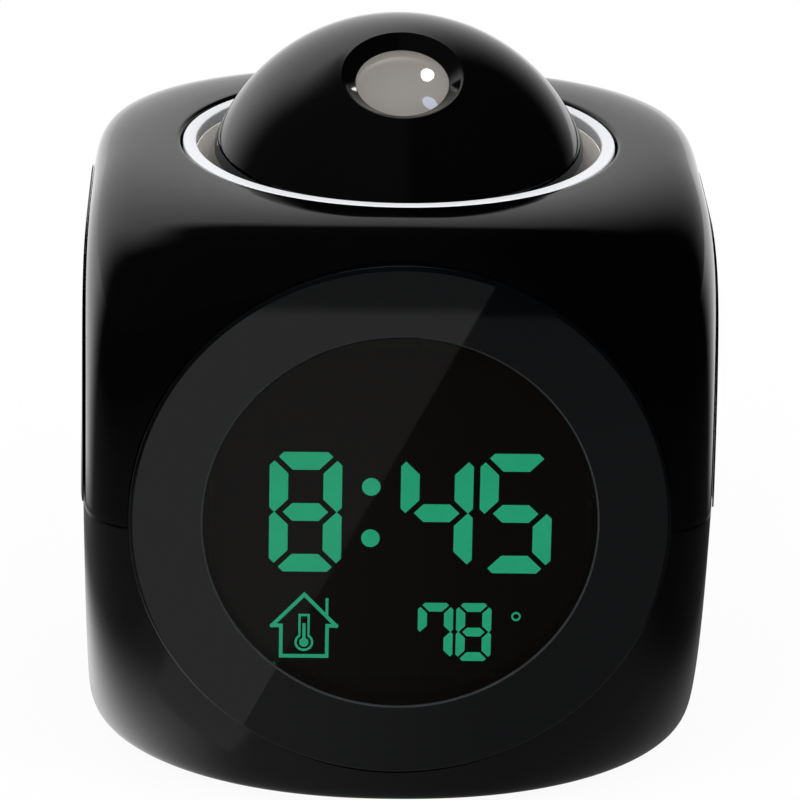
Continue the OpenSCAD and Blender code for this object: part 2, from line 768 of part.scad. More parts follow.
// Ring screwed under the top wall: it guides the bowl and stops it on the way up
module head_retainer() {
    color([0.15, 0.15, 0.16])
    difference() {
        union() {
            rod(retainer_outer_r, retainer_z, retainer_top);
            around_head(ear_reach) {
                rod(ear_r, retainer_z, retainer_z + ear_thick);
                translate([-ear_r, 0, 0])
                    block(2 * ear_r, 2 * ear_r, retainer_z, retainer_z + ear_thick);
            }
        }
        rod(retainer_inner_r, retainer_z - cut, retainer_top + cut);
        around_head(ear_reach) rod(ear_screw_r + slip, retainer_z - cut, retainer_z + ear_thick + cut);
    }
}

module retainer_screws() {
    color("silver") around_head(ear_reach) translate([0, 0, retainer_z])
        screw_up(ear_screw_r, ear_thick + 3.2, ear_screw_head_r, 1.1);
}

module trim_ring() {
    edge = 0.3;
    color([0.92, 0.93, 0.94])
    translate([0, 0, bowl_top]) rotate_extrude() polygon([[ring_inner_r, 0], [ring_outer_r, 0],
        [ring_outer_r, ring_height - edge], [ring_outer_r - edge, ring_height],
        [ring_inner_r + edge, ring_height], [ring_inner_r, ring_height - edge]]);
}

// Chromed bowl around the ball: it slides down as the snooze button. The stop flange rests under
// the retainer, three legs stand on the springs, and the foot presses the snooze switch
module head_bowl() {
    color([0.75, 0.76, 0.78])
    difference() {
        union() {
            rod(bowl_outer_r, ball_z, bowl_top);
            translate([0, 0, ball_z]) sphere(r = bowl_outer_r);
            rod(stop_r, stop_top - stop_thick, stop_top);
            around_head(leg_reach) rod(leg_r, leg_z, stop_top - stop_thick + 0.5);
            translate([snooze_x, 0, 0]) rod(snooze_foot_r, snooze_foot_z, ball_z - 0.68 * bowl_inner_r);
        }
        rod(bowl_inner_r, ball_z, case_top + ball_r);
        translate([0, 0, ball_z]) sphere(r = bowl_inner_r);
        rod(bowl_lead_r, 0, ball_z);
        rod(2 * ball_r, bowl_top, case_top + ball_r);
        translate([0, 0, ball_z]) rotate([0, 90, 0]) cylinder(r = pivot_r, h = 4 * ball_r, center = true);
    }
}

// Two steel pins pressed into the bowl wall: the ball turns on them
module pivot_pins() {
    color("silver")
    for (i = [-1, 1]) translate([i * (bowl_outer_r - 0.1), 0, ball_z]) rotate([0, -90 * i, 0])
        cylinder(r = pivot_r, h = bowl_outer_r - 0.1 - ball_r + bush_depth);
}

module return_springs() {
    color("silver")
    around_head(leg_reach) coil(spring_r, spring_r, chassis_top, leg_z, spring_turns, spring_wire_r);
}

module snooze_board() {
    color([0.05, 0.3, 0.18]) translate([snooze_x + 2.5, 0, 0])
        block(snooze_board_l, snooze_board_w, chassis_top, snooze_switch_z);
}

module snooze_switch() {
    color([0.2, 0.2, 0.22])
    translate([snooze_x, 0, 0]) difference() {
        block(switch_size, switch_size, snooze_switch_z, snooze_switch_z + switch_height);
        rod(plunger_r + plunger_gap, snooze_switch_z + 0.4, snooze_switch_z + switch_height + cut);
    }
}

module snooze_plunger() {
    color([0.8, 0.2, 0.15]) translate([snooze_x, 0, 0])
        rod(plunger_r, snooze_switch_z + 0.5 + head_travel, snooze_foot_z);
}

// ---------------------------------------------------------------- projector ball

// Upper part of the ball: the lens recess, a sleeve for the barrel, and a tongue into the base
module ball_cap() {
    color([0.03, 0.03, 0.035])
    difference() {
        union() {
            difference() {
                translate([0, 0, ball_z]) sphere(r = ball_r);
                translate([0, 0, ball_z]) sphere(r = ball_r - ball_wall);
                translate([0, 0, ball_z]) rotate([split_lean, 0, 0])
                    block(3 * ball_r, 3 * ball_r, -2 * ball_r, split_rise);
            }
            intersection() {
                along_lens() rod(sleeve_r, sleeve_back_w, ball_r);
                translate([0, 0, ball_z]) sphere(r = ball_r - 0.3);
            }
            translate([0, 0, ball_z]) rotate([split_lean, 0, 0])
                pipe(tongue_r, tongue_r - 1, split_rise - 1.6, split_rise + 1.4);
        }
        along_lens() {
            translate([0, 0, lens_rim_w]) cylinder(r1 = lens_r + seat_gap,
                r2 = lens_r + seat_gap + recess_slope * (ball_r + cut - lens_rim_w),
                h = ball_r + cut - lens_rim_w);
            rod(lens_r + seat_gap, 0, lens_rim_w + cut / 2);
            rod(lens_flange_r + seat_gap, 0, lens_rim_w - 0.4);
            rod(barrel_r + seat_gap, 0, barrel_front_w);
        }
    }
}

// Rest of the ball, with a bush for each pivot pin and a hole for the lead at the bottom
module ball_base() {
    bush_in = ball_r - 0.7 - bush_depth;
    color([0.03, 0.03, 0.035])
    difference() {
        union() {
            difference() {
                translate([0, 0, ball_z]) sphere(r = ball_r);
                translate([0, 0, ball_z]) sphere(r = ball_r - ball_wall);
                above_split(-0.3);
            }
            for (i = [-1, 1]) translate([i * bush_in, 0, ball_z]) rotate([0, 90 * i, 0])
                cylinder(r = bush_r, h = bush_depth);
        }
        rod(ball_lead_r, 0, ball_z);
        translate([0, 0, ball_z]) rotate([0, 90, 0])
            cylinder(r = pivot_r + plunger_gap, h = 4 * ball_r, center = true);
    }
}

module lens_barrel() {
    color([0.1, 0.1, 0.11]) along_lens() pipe(barrel_r, barrel_bore_r, barrel_back_w, barrel_front_w - 0.1);
}

// Plano-convex lens with a flange that the barrel holds against the cap
module projection_lens() {
    color([0.6, 0.57, 0.53, 0.7])
    along_lens() {
        rod(lens_flange_r, lens_back_w, lens_flange_w + 1.2);
        intersection() {
            rod(lens_r, lens_flange_w + 0.6, lens_rim_w + lens_dome + cut);
            translate([0, 0, lens_rim_w + lens_dome - lens_dome_r]) sphere(r = lens_dome_r);
        }
    }
}

// Small transmissive LCD that carries the projected time
module slide_lcd() {
    color([0.5, 0.55, 0.6, 0.6]) along_lens() rod(lens_flange_r, 8, 9.4);
}

module condenser_lens() {
    color([0.8, 0.85, 0.9, 0.6])
    along_lens() intersection() {
        rod(lens_flange_r, 2, 6);
        translate([0, 0, 6 - 11]) sphere(r = 11);
    }
}

module projector_led() {
    color([0.8, 0.1, 0.1])
    along_lens() {
        rod(2.5, board_w + 1.4, board_w + 3.6);
        translate([0, 0, board_w + 3.6]) intersection() {
            sphere(r = 2.5);
            rod(3, 0, 3);
        }
    }
}

module projector_board() {
    color([0.05, 0.3, 0.18]) along_lens() rod(projector_board_r, board_w, barrel_back_w);
}

// ---------------------------------------------------------------- rear panel

key_places = [-1.5, -0.5, 0.5, 1.5];

module grille() {
    for (ring = [0 : grille_rings]) for (k = [0 : max(6 * ring, 1) - 1])
        rotate(360 * k / max(6 * ring, 1)) translate([ring * grille_pitch, 0, 0]) children();
}

// Round panel that carries the keys, the speaker and the sockets
module rear_panel() {
    flange_front = panel_flange_y;
    color([0.05, 0.05, 0.055])
    difference() {
        union() {
            facing_back(panel_back_y, panel_z) cylinder(r = panel_r, h = panel_plate);
            facing_back(flange_front - panel_flange_thick, panel_z)
                pipe(panel_r, panel_r - panel_skirt, 0,
                    panel_back_y - flange_front + panel_flange_thick + 0.5);
            facing_back(flange_front - panel_flange_thick, panel_z)
                pipe(panel_r + panel_flange, panel_r - panel_skirt, 0, panel_flange_thick);
            for (p = key_posts)
                translate([p.x, 0, 0]) facing_back(key_switch_y, p.y)
                    cylinder(r = key_post_r, h = panel_back_y - key_switch_y + 0.5);
        }
        for (k = key_places) translate([k * key_pitch, 0, key_z])
            slab(key_width + 2 * slip, key_height + 2 * slip, panel_back_y - cut, panel_face_y + cut);
        translate([0, 0, slider_z]) slab(slider_knob_w + slider_travel + 2 * slip,
            slider_knob_h + 2 * slip, panel_back_y - cut, panel_face_y + cut);
        translate([0, 0, usb_z]) slab(usb_width + 2 * slip, usb_height + 2 * slip,
            panel_back_y - cut, panel_face_y + cut);
        facing_back(panel_back_y - cut, speaker_z) grille()
            cylinder(r = grille_hole_r, h = panel_plate + 2 * cut);
        for (p = key_posts)
            translate([p.x, 0, 0]) facing_back(key_switch_y - cut, p.y)
                cylinder(r = small_screw_r, h = 5);
    }
}

// A key with its flange behind the panel and the switch plunger that it presses
module key(place) {
    x = key_places[place] * key_pitch;
    flange_y = panel_back_y - slip / 2 - key_flange_thick;
    color([0.12, 0.12, 0.13])
    translate([x, 0, key_z]) {
        slab(key_width, key_height, flange_y, panel_face_y + key_proud);
        slab(key_width + 2 * key_flange, key_height + 2 * key_flange, flange_y, flange_y + key_flange_thick);
        facing_back(key_stem_y, 0) cylinder(r = key_stem_r, h = flange_y - key_stem_y + 0.2);
        facing_back(key_switch_y + 0.6 + key_travel, 0)
            cylinder(r = plunger_r, h = key_stem_y - key_switch_y - 0.6 - key_travel);
    }
}

module key_set() { key(0); }

module key_alarm() { key(1); }

module key_up() { key(2); }

module key_down() { key(3); }

// Switch bodies on the key board, bored for the plungers
module key_switches() {
    color([0.2, 0.2, 0.22])
    for (k = key_places) translate([k * key_pitch, 0, key_z]) difference() {
        slab(switch_size, switch_size, key_switch_y, key_switch_y + key_switch_h);
        facing_back(key_switch_y + 0.5, 0) cylinder(r = plunger_r + plunger_gap, h = key_switch_h);
    }
}

module key_board() {
    color([0.05, 0.3, 0.18])
    difference() {
        intersection() {
            facing_back(key_board_y, panel_z) cylinder(r = panel_r - panel_skirt - 0.5, h = key_board_thick);
            translate([-panel_r, key_board_y - cut, key_board_low]) cube([2 * panel_r, 9, panel_r]);
        }
        for (p = key_posts)
            translate([p.x, 0, 0]) facing_back(key_board_y - cut, p.y)
                cylinder(r = small_screw_r + 0.15, h = key_board_thick + 2 * cut);
    }
}

module key_board_screws() {
    color("silver")
    for (p = key_posts)
        translate([p.x, 0, 0]) facing_back(key_board_y, p.y)
            screw_up(small_screw_r, key_board_thick + 3, small_head_r, small_head_h);
}

// Knob of the alarm switch at the left end of its slot
module alarm_slider() {
    plate_y = key_switch_y + key_switch_h + 0.9;
    color([0.12, 0.12, 0.13])
    translate([-slider_travel / 2, 0, slider_z]) {
        slab(slider_knob_w, slider_knob_h, plate_y, panel_face_y + slider_proud);
        slab(2 * slider_knob_w + slider_travel, slider_knob_h + 2, plate_y, plate_y + 0.8);
        slab(1.4, 0.9, plate_y - 1.7, plate_y + 0.2);
    }
}

module slide_switch() {
    color([0.6, 0.6, 0.62])
    translate([0, 0, slider_z]) difference() {
        slab(9, 3.6, key_switch_y, key_switch_y + key_switch_h);
        slab(1.4 + slider_travel + 2 * slip, 0.9 + 2 * slip,
            key_switch_y + 1.4, key_switch_y + key_switch_h + cut);
    }
}

module speaker_frame() {
    color([0.35, 0.36, 0.38])
    facing_front(panel_back_y, speaker_z) rotate_extrude() polygon([[speaker_r - 1.4, 0], [speaker_r, 0],
        [speaker_r, 1.6], [magnet_r + 0.8, speaker_depth], [magnet_r - 2, speaker_depth],
        [magnet_r - 2, speaker_depth - 0.8], [magnet_r + 0.3, speaker_depth - 0.8], [speaker_r - 1.4, 1.2]]);
}

module speaker_cone() {
    color([0.12, 0.12, 0.12])
    facing_front(panel_back_y, speaker_z)
        rotate_extrude() polygon([[0, 2.2], [2.4, 2.6], [speaker_r - 1.4, 0.5],
        [speaker_r - 1.4, 0.9], [2.4, 3.1], [2.4, 3.6], [0, 3.6]]);
}

module speaker_magnet() {
    color([0.5, 0.5, 0.52])
    facing_front(panel_back_y, speaker_z) rod(magnet_r, speaker_depth, speaker_depth + magnet_depth);
}

// Power socket: a metal shell with a tongue, flush with the rear panel
module usb_socket() {
    mouth = panel_face_y - usb_sink;
    color("silver")
    translate([0, 0, usb_z]) {
        difference() {
            slab(usb_width, usb_height, mouth - usb_depth, mouth);
            slab(usb_width - 2 * usb_shell, usb_height - 2 * usb_shell, mouth - usb_depth + 1, mouth + cut);
        }
        slab(4.6, 0.6, mouth - usb_depth + 0.8, mouth - 0.8);
    }
}

module power_board() {
    color([0.05, 0.3, 0.18])
    translate([0, 0, usb_z - 1.2]) slab(power_board_w, power_board_h, power_board_y,
        power_board_y + power_board_thick);
}

// ---------------------------------------------------------------- battery compartment

// Copies the children to the cells, every other one turned round
module at_cells() {
    for (k = [0 : cell_count - 1])
        translate([0, (k - (cell_count - 1) / 2) * cell_pitch, cell_z]) rotate(180 * (k % 2)) children();
}

// Roof and walls of the compartment, open at the bottom, with notches for the door's hooks
module battery_tray() {
    color([0.13, 0.13, 0.14])
    difference() {
        block(2 * (tray_half_l + tray_wall), 2 * (tray_half_w + tray_wall), floor_z + slip, tray_top);
        block(2 * tray_half_l, 2 * tray_half_w, floor_z - cut, tray_top - tray_wall);
        for (i = [-1, 1]) translate([i * hook_x, -tray_half_w, floor_z - cut])
            block(2 * (hook_half + slip), 4, 0, cut + 2.4);
    }
}

// Door in the case floor: two hooks at its front edge, a snap tongue at its rear edge
module battery_door() {
    front = -tray_half_w + slip;
    door_top = foot_height + door_thick;
    color([0.035, 0.035, 0.04]) {
        block(2 * (tray_half_l - slip), 2 * (tray_half_w - slip), foot_height, door_top);
        for (i = [-1, 1]) translate([i * hook_x - hook_half, 0, 0]) {
            translate([0, front, door_top - 0.3])
                cube([2 * hook_half, 1, floor_z + 0.1 + hook_thick - door_top + 0.3]);
            translate([0, front - hook_reach, floor_z + 0.1])
                cube([2 * hook_half, hook_reach + 0.5, hook_thick]);
        }
        translate([-5, -front - 1.2, door_top - 0.3]) cube([10, 1.2, 1.6]);
    }
}

module battery_cells() {
    color([0.75, 0.45, 0.2])
    at_cells() rotate([0, 90, 0]) {
        end = tray_half_l - plate_thick;
        rod(cell_r, end - cell_length, end - nub_height);
        rod(nub_r, end - nub_height - 0.2, end);
    }
}

// Conical springs at the cells' flat ends
module battery_springs() {
    flat_end = cell_length - tray_half_l + plate_thick;
    color("silver")
    at_cells() rotate([0, -90, 0]) coil(1.6, 3.6, flat_end, tray_half_l - plate_thick, 3, 0.3);
}

module battery_plates() {
    color([0.8, 0.8, 0.82])
    at_cells() for (i = [-1, 1]) translate([i * (tray_half_l - plate_thick / 2), 0, 0])
        cube([plate_thick, plate_side, plate_side], center = true);
}

// ---------------------------------------------------------------- internal leads

lead_gap = 0.2;   // clearance at a lead's soldered ends
connector_y = board_y + board_thick + 1.3 + lead_gap;
connector_z = bezel_z - 10;
under_chassis = min(connector_z + 2, chassis_z - 3);   // height at which the leads pass below it

// A lead's path: straight out from its start a, through its middle points, straight into the
// connector at x on the back of the main board
function lead_path(a, run, middle, x) = concat([a, a + run, a + 2 * run], middle,
    [for (i = [2, 1, 0]) [x, connector_y + 2.5 * i, connector_z]]);

// Lead from the projector board, through the ball, bowl and chassis, to the main board
function on_lens_axis(w) = [0, -w * sin(lens_tilt), ball_z + w * cos(lens_tilt)];
head_lead_path = lead_path(on_lens_axis(board_w - lead_gap), on_lens_axis(-1.5) - on_lens_axis(0),
    [[0, 2, ball_z - 15], [0, 0, ball_z - 24], [0, 0, chassis_top], [0, -3, chassis_z - 5],
    [0, -14, under_chassis - 1]], 0);

module head_lead() {
    color([0.7, 0.7, 0.72]) wire(smooth(head_lead_path, 3), 1.1, 8, [1, 0, 0]);
}

// Leads from the speaker, the key board and the battery contacts to the main board
magnet_back_y = panel_back_y - speaker_depth - magnet_depth;
speaker_lead_path = lead_path([2, magnet_back_y - lead_gap, speaker_z + 2], [0, -1.5, 0],
    [[4, 16, connector_z - 2], [8, 0, connector_z - 2], [8, -14, connector_z - 1]], 8);
key_lead_path = lead_path([-7, key_board_y - lead_gap, key_board_low + 2], [0, -0.6, 0],
    [[-7, key_board_y - 1.7, chassis_top], [-7, key_board_y - 1.8, chassis_z - 2], [-7, 24, under_chassis],
    [-7, 5, under_chassis - 1], [-7, -12, under_chassis - 2]], -7);
battery_lead_path = lead_path([-18, -tray_half_w + 2, tray_top + lead_gap], [0, 0, 1.5],
    [[-18, -tray_half_w - 2, tray_top + 9]], -18);

module inner_leads() {
    color([0.55, 0.12, 0.1]) {
        wire(smooth(speaker_lead_path, 3), 0.8, 8, [1, 0, 0]);
        wire(smooth(key_lead_path, 3), 0.8, 8, [1, 0, 0]);
        wire(smooth(battery_lead_path, 3), 0.8, 8, [1, 0, 0]);
    }
}

upper_shell();
lower_shell();
side_panel_left();
side_panel_right();
rubber_feet();
case_screws();
inner_chassis();
front_bezel();
display_window();
display_symbols();
lcd_glass();
lcd_frame();
light_guide();
zebra_strips();
main_board();
backlight_leds();
board_parts();
board_screws();
head_retainer();
retainer_screws();
trim_ring();
head_bowl();
pivot_pins();
return_springs();
snooze_board();
snooze_switch();
snooze_plunger();
ball_cap();
ball_base();
lens_barrel();
projection_lens();
slide_lcd();
condenser_lens();
projector_led();
projector_board();
rear_panel();
key_set();
key_alarm();
key_up();
key_down();
key_switches();
key_board();
key_board_screws();
alarm_slider();
slide_switch();
speaker_frame();
speaker_cone();
speaker_magnet();
usb_socket();
power_board();
battery_tray();
battery_door();
battery_cells();
battery_springs();
battery_plates();
head_lead();
inner_leads();
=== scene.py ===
import math

import bpy
from mathutils import Matrix, Vector


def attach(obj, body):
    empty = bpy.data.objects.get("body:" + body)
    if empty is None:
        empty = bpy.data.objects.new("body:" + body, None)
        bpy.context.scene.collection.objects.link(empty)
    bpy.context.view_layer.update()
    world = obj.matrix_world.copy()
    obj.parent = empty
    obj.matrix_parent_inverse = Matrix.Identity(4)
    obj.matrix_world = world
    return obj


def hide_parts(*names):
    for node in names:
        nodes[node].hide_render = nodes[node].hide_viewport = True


# Projection alarm clock: a glossy pillow-shaped case with a round display, a projector ball that
# tilts in a silver bowl, and a key panel at the back. Front is -Y, right is +X. The scene is in
# metres; measures of the clock are written in millimetres and multiplied by MM.
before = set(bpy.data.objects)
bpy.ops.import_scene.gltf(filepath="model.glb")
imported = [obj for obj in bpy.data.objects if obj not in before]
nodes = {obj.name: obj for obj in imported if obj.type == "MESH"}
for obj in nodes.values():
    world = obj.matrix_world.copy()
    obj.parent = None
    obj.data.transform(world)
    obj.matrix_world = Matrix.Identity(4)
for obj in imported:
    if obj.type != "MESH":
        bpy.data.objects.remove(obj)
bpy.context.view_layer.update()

# ---------------------------------------------------------------- camera
# A long lens from two thirds of a metre, a little above the clock and turned slightly clockwise.
YAW, ELEVATION, ROLL = math.radians(-1.57), math.radians(20.14), math.radians(1.1)
AIM, DISTANCE = Vector((0.00078, 0, 0.04195)), 0.7009
SENSOR_WIDTH, FOCAL_OVER_WIDTH = 36, 6.55
back = Vector((math.sin(YAW) * math.cos(ELEVATION), -math.cos(YAW) * math.cos(ELEVATION),
               math.sin(ELEVATION)))
level = Vector((math.cos(YAW), math.sin(YAW), 0))
upward = back.cross(level)
right = level * math.cos(ROLL) + upward * math.sin(ROLL)
turn = Matrix((right, back.cross(right), back)).transposed().to_euler()
bpy.ops.object.camera_add(location=AIM + back * DISTANCE, rotation=turn)
camera = bpy.context.object
camera.data.sensor_width = SENSOR_WIDTH
camera.data.lens = SENSOR_WIDTH * FOCAL_OVER_WIDTH
bpy.context.scene.camera = camera
bpy.context.scene.view_settings.view_transform = "Standard"


# ---------------------------------------------------------------- studio
# White floor and white surroundings behind the clock, a darkened room in front of it, and soft
# lamps. A finish is a node material, and Value lets its maths be written out.
class Value:
    """An output socket: arithmetic on it adds Math nodes to its finish."""

    def __init__(self, finish, socket):
        self.finish, self.socket = finish, socket

    def __add__(self, other):
        return self.finish.math("ADD", self, other)

    def __mul__(self, other):
        return self.finish.math("MULTIPLY", self, other)

    def __gt__(self, other):
        return self.finish.math("GREATER_THAN", self, other)

    __radd__ = __add__
    __rmul__ = __mul__


class Finish:
    """A node material, or the world, that is built up from calls of node()."""

    def __init__(self, name, owner=None):
        self.block = owner or bpy.data.materials.new(name)
        self.block.use_nodes = True
        self.block.node_tree.nodes.clear()

    def node(self, kind, settings=None, inputs=None, output=0):
        """Adds a node with its settings first, a ramp's two stops among them, and then its inputs."""
        made = self.block.node_tree.nodes.new(kind)
        for key, value in (settings or {}).items():
            if key == "stops":
                for stop, (place, colour) in zip(made.color_ramp.elements, value):
                    stop.position, stop.color = place, (*colour, 1)
            else:
                setattr(made, key, value)
        for key, value in (inputs or {}).items():
            if isinstance(value, Value):
                self.block.node_tree.links.new(value.socket, made.inputs[key])
            elif isinstance(value, tuple) and len(value) == 3 and made.inputs[key].type == "RGBA":
                made.inputs[key].default_value = (*value, 1)
            else:
                made.inputs[key].default_value = value
        return Value(self, made.outputs[output]) if made.outputs else None

    def math(self, operation, a, b):
        return self.node("ShaderNodeMath", {"operation": operation}, {0: a, 1: b})

    def place(self, output="Object"):
        return self.node("ShaderNodeTexCoord", output=output)

    def noise(self, scale, detail=2.0, at=None):
        return self.node("ShaderNodeTexNoise", None,
                         {"Vector": at or self.place(), "Scale": scale, "Detail": detail})

    def ramp(self, value, low, high):
        return self.node("ShaderNodeValToRGB", {"stops": (low, high)}, {"Fac": value})

    def between(self, value, low, high, to_low=0.0, to_high=1.0):
        """value mapped smoothly from low..high to to_low..to_high."""
        return self.node("ShaderNodeMapRange", {"interpolation_type": "SMOOTHSTEP"},
                         {"Value": value, "From Min": low, "From Max": high,
                          "To Min": to_low, "To Max": to_high})

    def axes(self, vector):
        made = self.node("ShaderNodeSeparateXYZ", None, {0: vector}).socket.node
        return [Value(self, made.outputs[k]) for k in range(3)]

    def mix(self, share, a, b):
        return self.node("ShaderNodeMix", {"data_type": "RGBA"}, {0: share, 6: a, 7: b}, 2)

    def bump(self, height, distance, strength=1.0):
        return self.node("ShaderNodeBump", None,
                         {"Height": height, "Distance": distance, "Strength": strength})

    def shaded(self, **sockets):
        """Ends the material in a Principled shader; a word's underscores stand for spaces."""
        named = {key.replace("_", " "): value for key, value in sockets.items()}
        return self.ended(self.node("ShaderNodeBsdfPrincipled", None, named))

    def ended(self, shader):
        self.node("ShaderNodeOutputMaterial", None, {"Surface": shader})
        return self.block


def deselect():
    if bpy.context.mode != "OBJECT":
        bpy.ops.object.mode_set(mode="OBJECT")
    bpy.ops.object.select_all(action="DESELECT")


deselect()
FLOOR_SIZE, FLOOR_DROP, WHITE_SHARE = 6, 0.0002, 0.94
bpy.ops.mesh.primitive_plane_add(size=FLOOR_SIZE, location=(0, 0, -FLOOR_DROP))
floor = bpy.context.object
floor.name = "floor"
# The camera sees white paper with a faint shadow. The clock's gloss sees the paper lit in places:
# behind the clock, dimly beside it, at its left foot, and in a strip in front of it.
paper = Finish("floor_paper")
seen = paper.node("ShaderNodeLightPath").socket.node
by_camera, by_gloss = (Value(paper, seen.outputs[name])
                       for name in ("Is Camera Ray", "Is Glossy Ray"))
across, along, _ = paper.axes(paper.place())
reach = paper.node("ShaderNodeVectorMath", {"operation": "LENGTH"}, {0: paper.place()}, 1)
heading = paper.math("ARCTAN2", across, along)
behind = (paper.between(heading, -1.35, -0.80) * paper.between(heading, 0.60, 1.15, 1, 0)
          * paper.between(reach, 0.085, 0.130))
beside = paper.between(across, -0.02, 0.02, 0.13, 0.035) * paper.between(reach, 0.13, 0.30, 1, 0.15)
lit_left = paper.between(reach, 0.045, 0.078, 0.70, 0) * paper.between(across, -0.042, -0.020, 1, 0)
strip = (paper.between(across, -0.070, -0.046) * paper.between(across, 0.046, 0.070, 0.10, 0)
         * paper.between(along, -0.239, -0.234))
reflected = behind + beside + lit_left + strip
lit_paper = paper.node("ShaderNodeBsdfDiffuse", None, {"Color": (0.9, 0.9, 0.9)})
bright = paper.node("ShaderNodeEmission", None, {"Color": (1, 1, 1), "Strength": 1.0})
mirrored = paper.node("ShaderNodeEmission", None, {"Color": (1, 1, 1), "Strength": reflected})
for_camera = paper.node("ShaderNodeMixShader", None,
                        {0: by_camera * WHITE_SHARE, 1: lit_paper, 2: bright})
floor.data.materials.append(paper.ended(paper.node("ShaderNodeMixShader", None,
                                                   {0: by_gloss, 1: for_camera, 2: mirrored})))

# A pale card that lies on the floor at the front left, just wide enough for the flat front.
# It is only seen as a reflection, as the floor's own paper is.
CARD = [(-0.0465, -0.044), (-0.0252, -0.044), (0.0233, -0.261), (-0.0465, -0.261)]
deselect()
bpy.ops.mesh.primitive_plane_add(size=1, location=(0, 0, 0.0001))
card = bpy.context.object
card.name = "reflector_card"
bpy.ops.object.transform_apply(location=True, rotation=True, scale=True)
for vertex, (x, y) in zip(sorted(card.data.vertices, key=lambda v: math.atan2(v.co.y, v.co.x)),
                          [CARD[3], CARD[2], CARD[1], CARD[0]]):
    vertex.co.x, vertex.co.y = x, y
pale = Finish("reflector_card_paper")
_, along, _ = pale.axes(pale.place())
card.data.materials.append(pale.ended(pale.node("ShaderNodeEmission", None, {
    "Strength": pale.between(along, -0.242, -0.234, 0.16, 0.47)})))
card.visible_camera = card.visible_diffuse = card.visible_shadow = card.visible_transmission = False

# The camera, and what is seen through glass, get a plain white room, and its diffuse glow is pale.
# The gloss sees a soft panel behind the clock that fades to the right and upwards, and little else.
world = bpy.data.worlds.new("studio")
bpy.context.scene.world = world
room = Finish("studio", world)
seen = room.node("ShaderNodeLightPath").socket.node
by_camera, by_gloss, through = (Value(room, seen.outputs[name])
                                for name in ("Is Camera Ray", "Is Glossy Ray", "Is Transmission Ray"))
to_right, to_back, to_top = room.axes(room.place("Generated"))
azimuth = room.math("ARCTAN2", to_right, to_back)
panel = room.between(azimuth, -1.30, -0.64) * room.between(azimuth + to_top * 0.6, 0.0, 1.10, 0.86, 0)
top_low = room.between(azimuth, -0.9, -0.35, 0.62, 0.69)
top_high = room.between(azimuth, -0.9, -0.35, 0.88, 0.79)
panel = panel * room.between(to_top, top_low, top_high, 1, 0)
backdrop = panel + room.between(to_right, -0.02, 0.20, 0.034, 0.002)
glow = room.mix(by_gloss, (0.75, 0.75, 0.75), room.node("ShaderNodeCombineColor", None,
                                                        {0: backdrop, 1: backdrop, 2: backdrop}))
white = room.math("MAXIMUM", by_camera, through)
sky = room.node("ShaderNodeBackground", None,
                {"Color": room.mix(white, glow, (1, 1, 1)), "Strength": 1.0})
room.node("ShaderNodeOutputWorld", None, {"Surface": sky})


def lamp(name, place, size, power, glossy=False):
    """A square soft lamp aimed at the middle of the clock."""
    direction = Vector((0, 0, 0.05)) - Vector(place)
    bpy.ops.object.light_add(type="AREA", location=place,
                             rotation=direction.to_track_quat("-Z", "Y").to_euler())
    made = bpy.context.object
    made.name, made.data.size, made.data.energy = name, size, power
    made.visible_glossy = glossy
    return made


def lights_only(made, piece):
    """Lets the lamp shine on this one piece."""
    lit = bpy.data.collections.new(f"lit_by_{made.name}")
    lit.objects.link(piece)
    made.light_linking.receiver_collection = lit


lamp("lamp_left", (-0.75, -1.0, 1.1), 0.9, 11)
lamp("lamp_right", (0.85, -0.8, 1.0), 0.8, 7)

# ---------------------------------------------------------------- upper shell
# Upper half of the case: injection-moulded ABS with a piano-black gloss, rounded at the top edge
# and open at the top for the projector head. It meets the lower half in a fine groove.
MM = 0.001
HALF_W, HALF_D = 40.75, 40.45
SEAM_Z, CASE_TOP, UPPER_HEIGHT = 38.6, 78.6, 40.0
CROWN_EDGE, CROWN_SQUARE, CROWN_BLEND = 11.0, 2.2, 2.3
SEAM_SQUARE = 8.3
CASE_WALL = 2.2
HEAD_OPENING_R, OPENING_ROUND, OPENING_TOP = 28.7, 0.5, CASE_TOP - 0.1
CROWN_END = 0.745  # share of the breadth at which the crown's curve passes into the flat top
AROUND = 288
GROOVE = 0.16
CLEARANCE = 0.12


def breadth(t, edge):
    """Share of the full breadth that is left at the share t of a shell's height."""
    return max(0.0, 1 - t ** edge) ** (1 / edge)


def squareness(t, end, blend):
    """Exponent of the outline at the share t of a shell's height."""
    return SEAM_SQUARE + (end - SEAM_SQUARE) * t ** blend


def outline(share, n, z, inset=0.0):
    """Points of the case outline, a superellipse that is scaled by share."""
    ax, ay = HALF_W * share - inset, HALF_D * share - inset
    points = []
    for k in range(AROUND):
        c, s = math.cos(2 * math.pi * k / AROUND), math.sin(2 * math.pi * k / AROUND)
        reach = (abs(c / ax) ** n + abs(s / ay) ** n) ** (-1 / n)
        points.append((reach * c, reach * s, z))
    return points


def shell_rings(up, height, end_square, blend, edge, last, side_steps, edge_steps):
    """Outlines from the groove at the seam to where the breadth has shrunk to the share last.

    The side has even steps up to its knee; from there on the steps follow the curve of the edge.
    """
    knee = 1 - 3 / edge
    start, stop = math.asin(knee ** (edge / 2)), math.acos(last ** (edge / 2))
    rings = [outline(1, SEAM_SQUARE, SEAM_Z + up * GROOVE * (1 - math.cos(a)),
                     GROOVE * (1 - math.sin(a)))
             for a in (0, math.pi / 6, math.pi / 3, math.pi / 2)]
    shares = [knee * i / side_steps for i in range(1, side_steps)]
    shares += [math.sin(start + (stop - start) * i / edge_steps) ** (2 / edge)
               for i in range(edge_steps + 1)]
    return rings + [outline(breadth(t, edge), squareness(t, end_square, blend),
                            SEAM_Z + up * height * t) for t in shares]


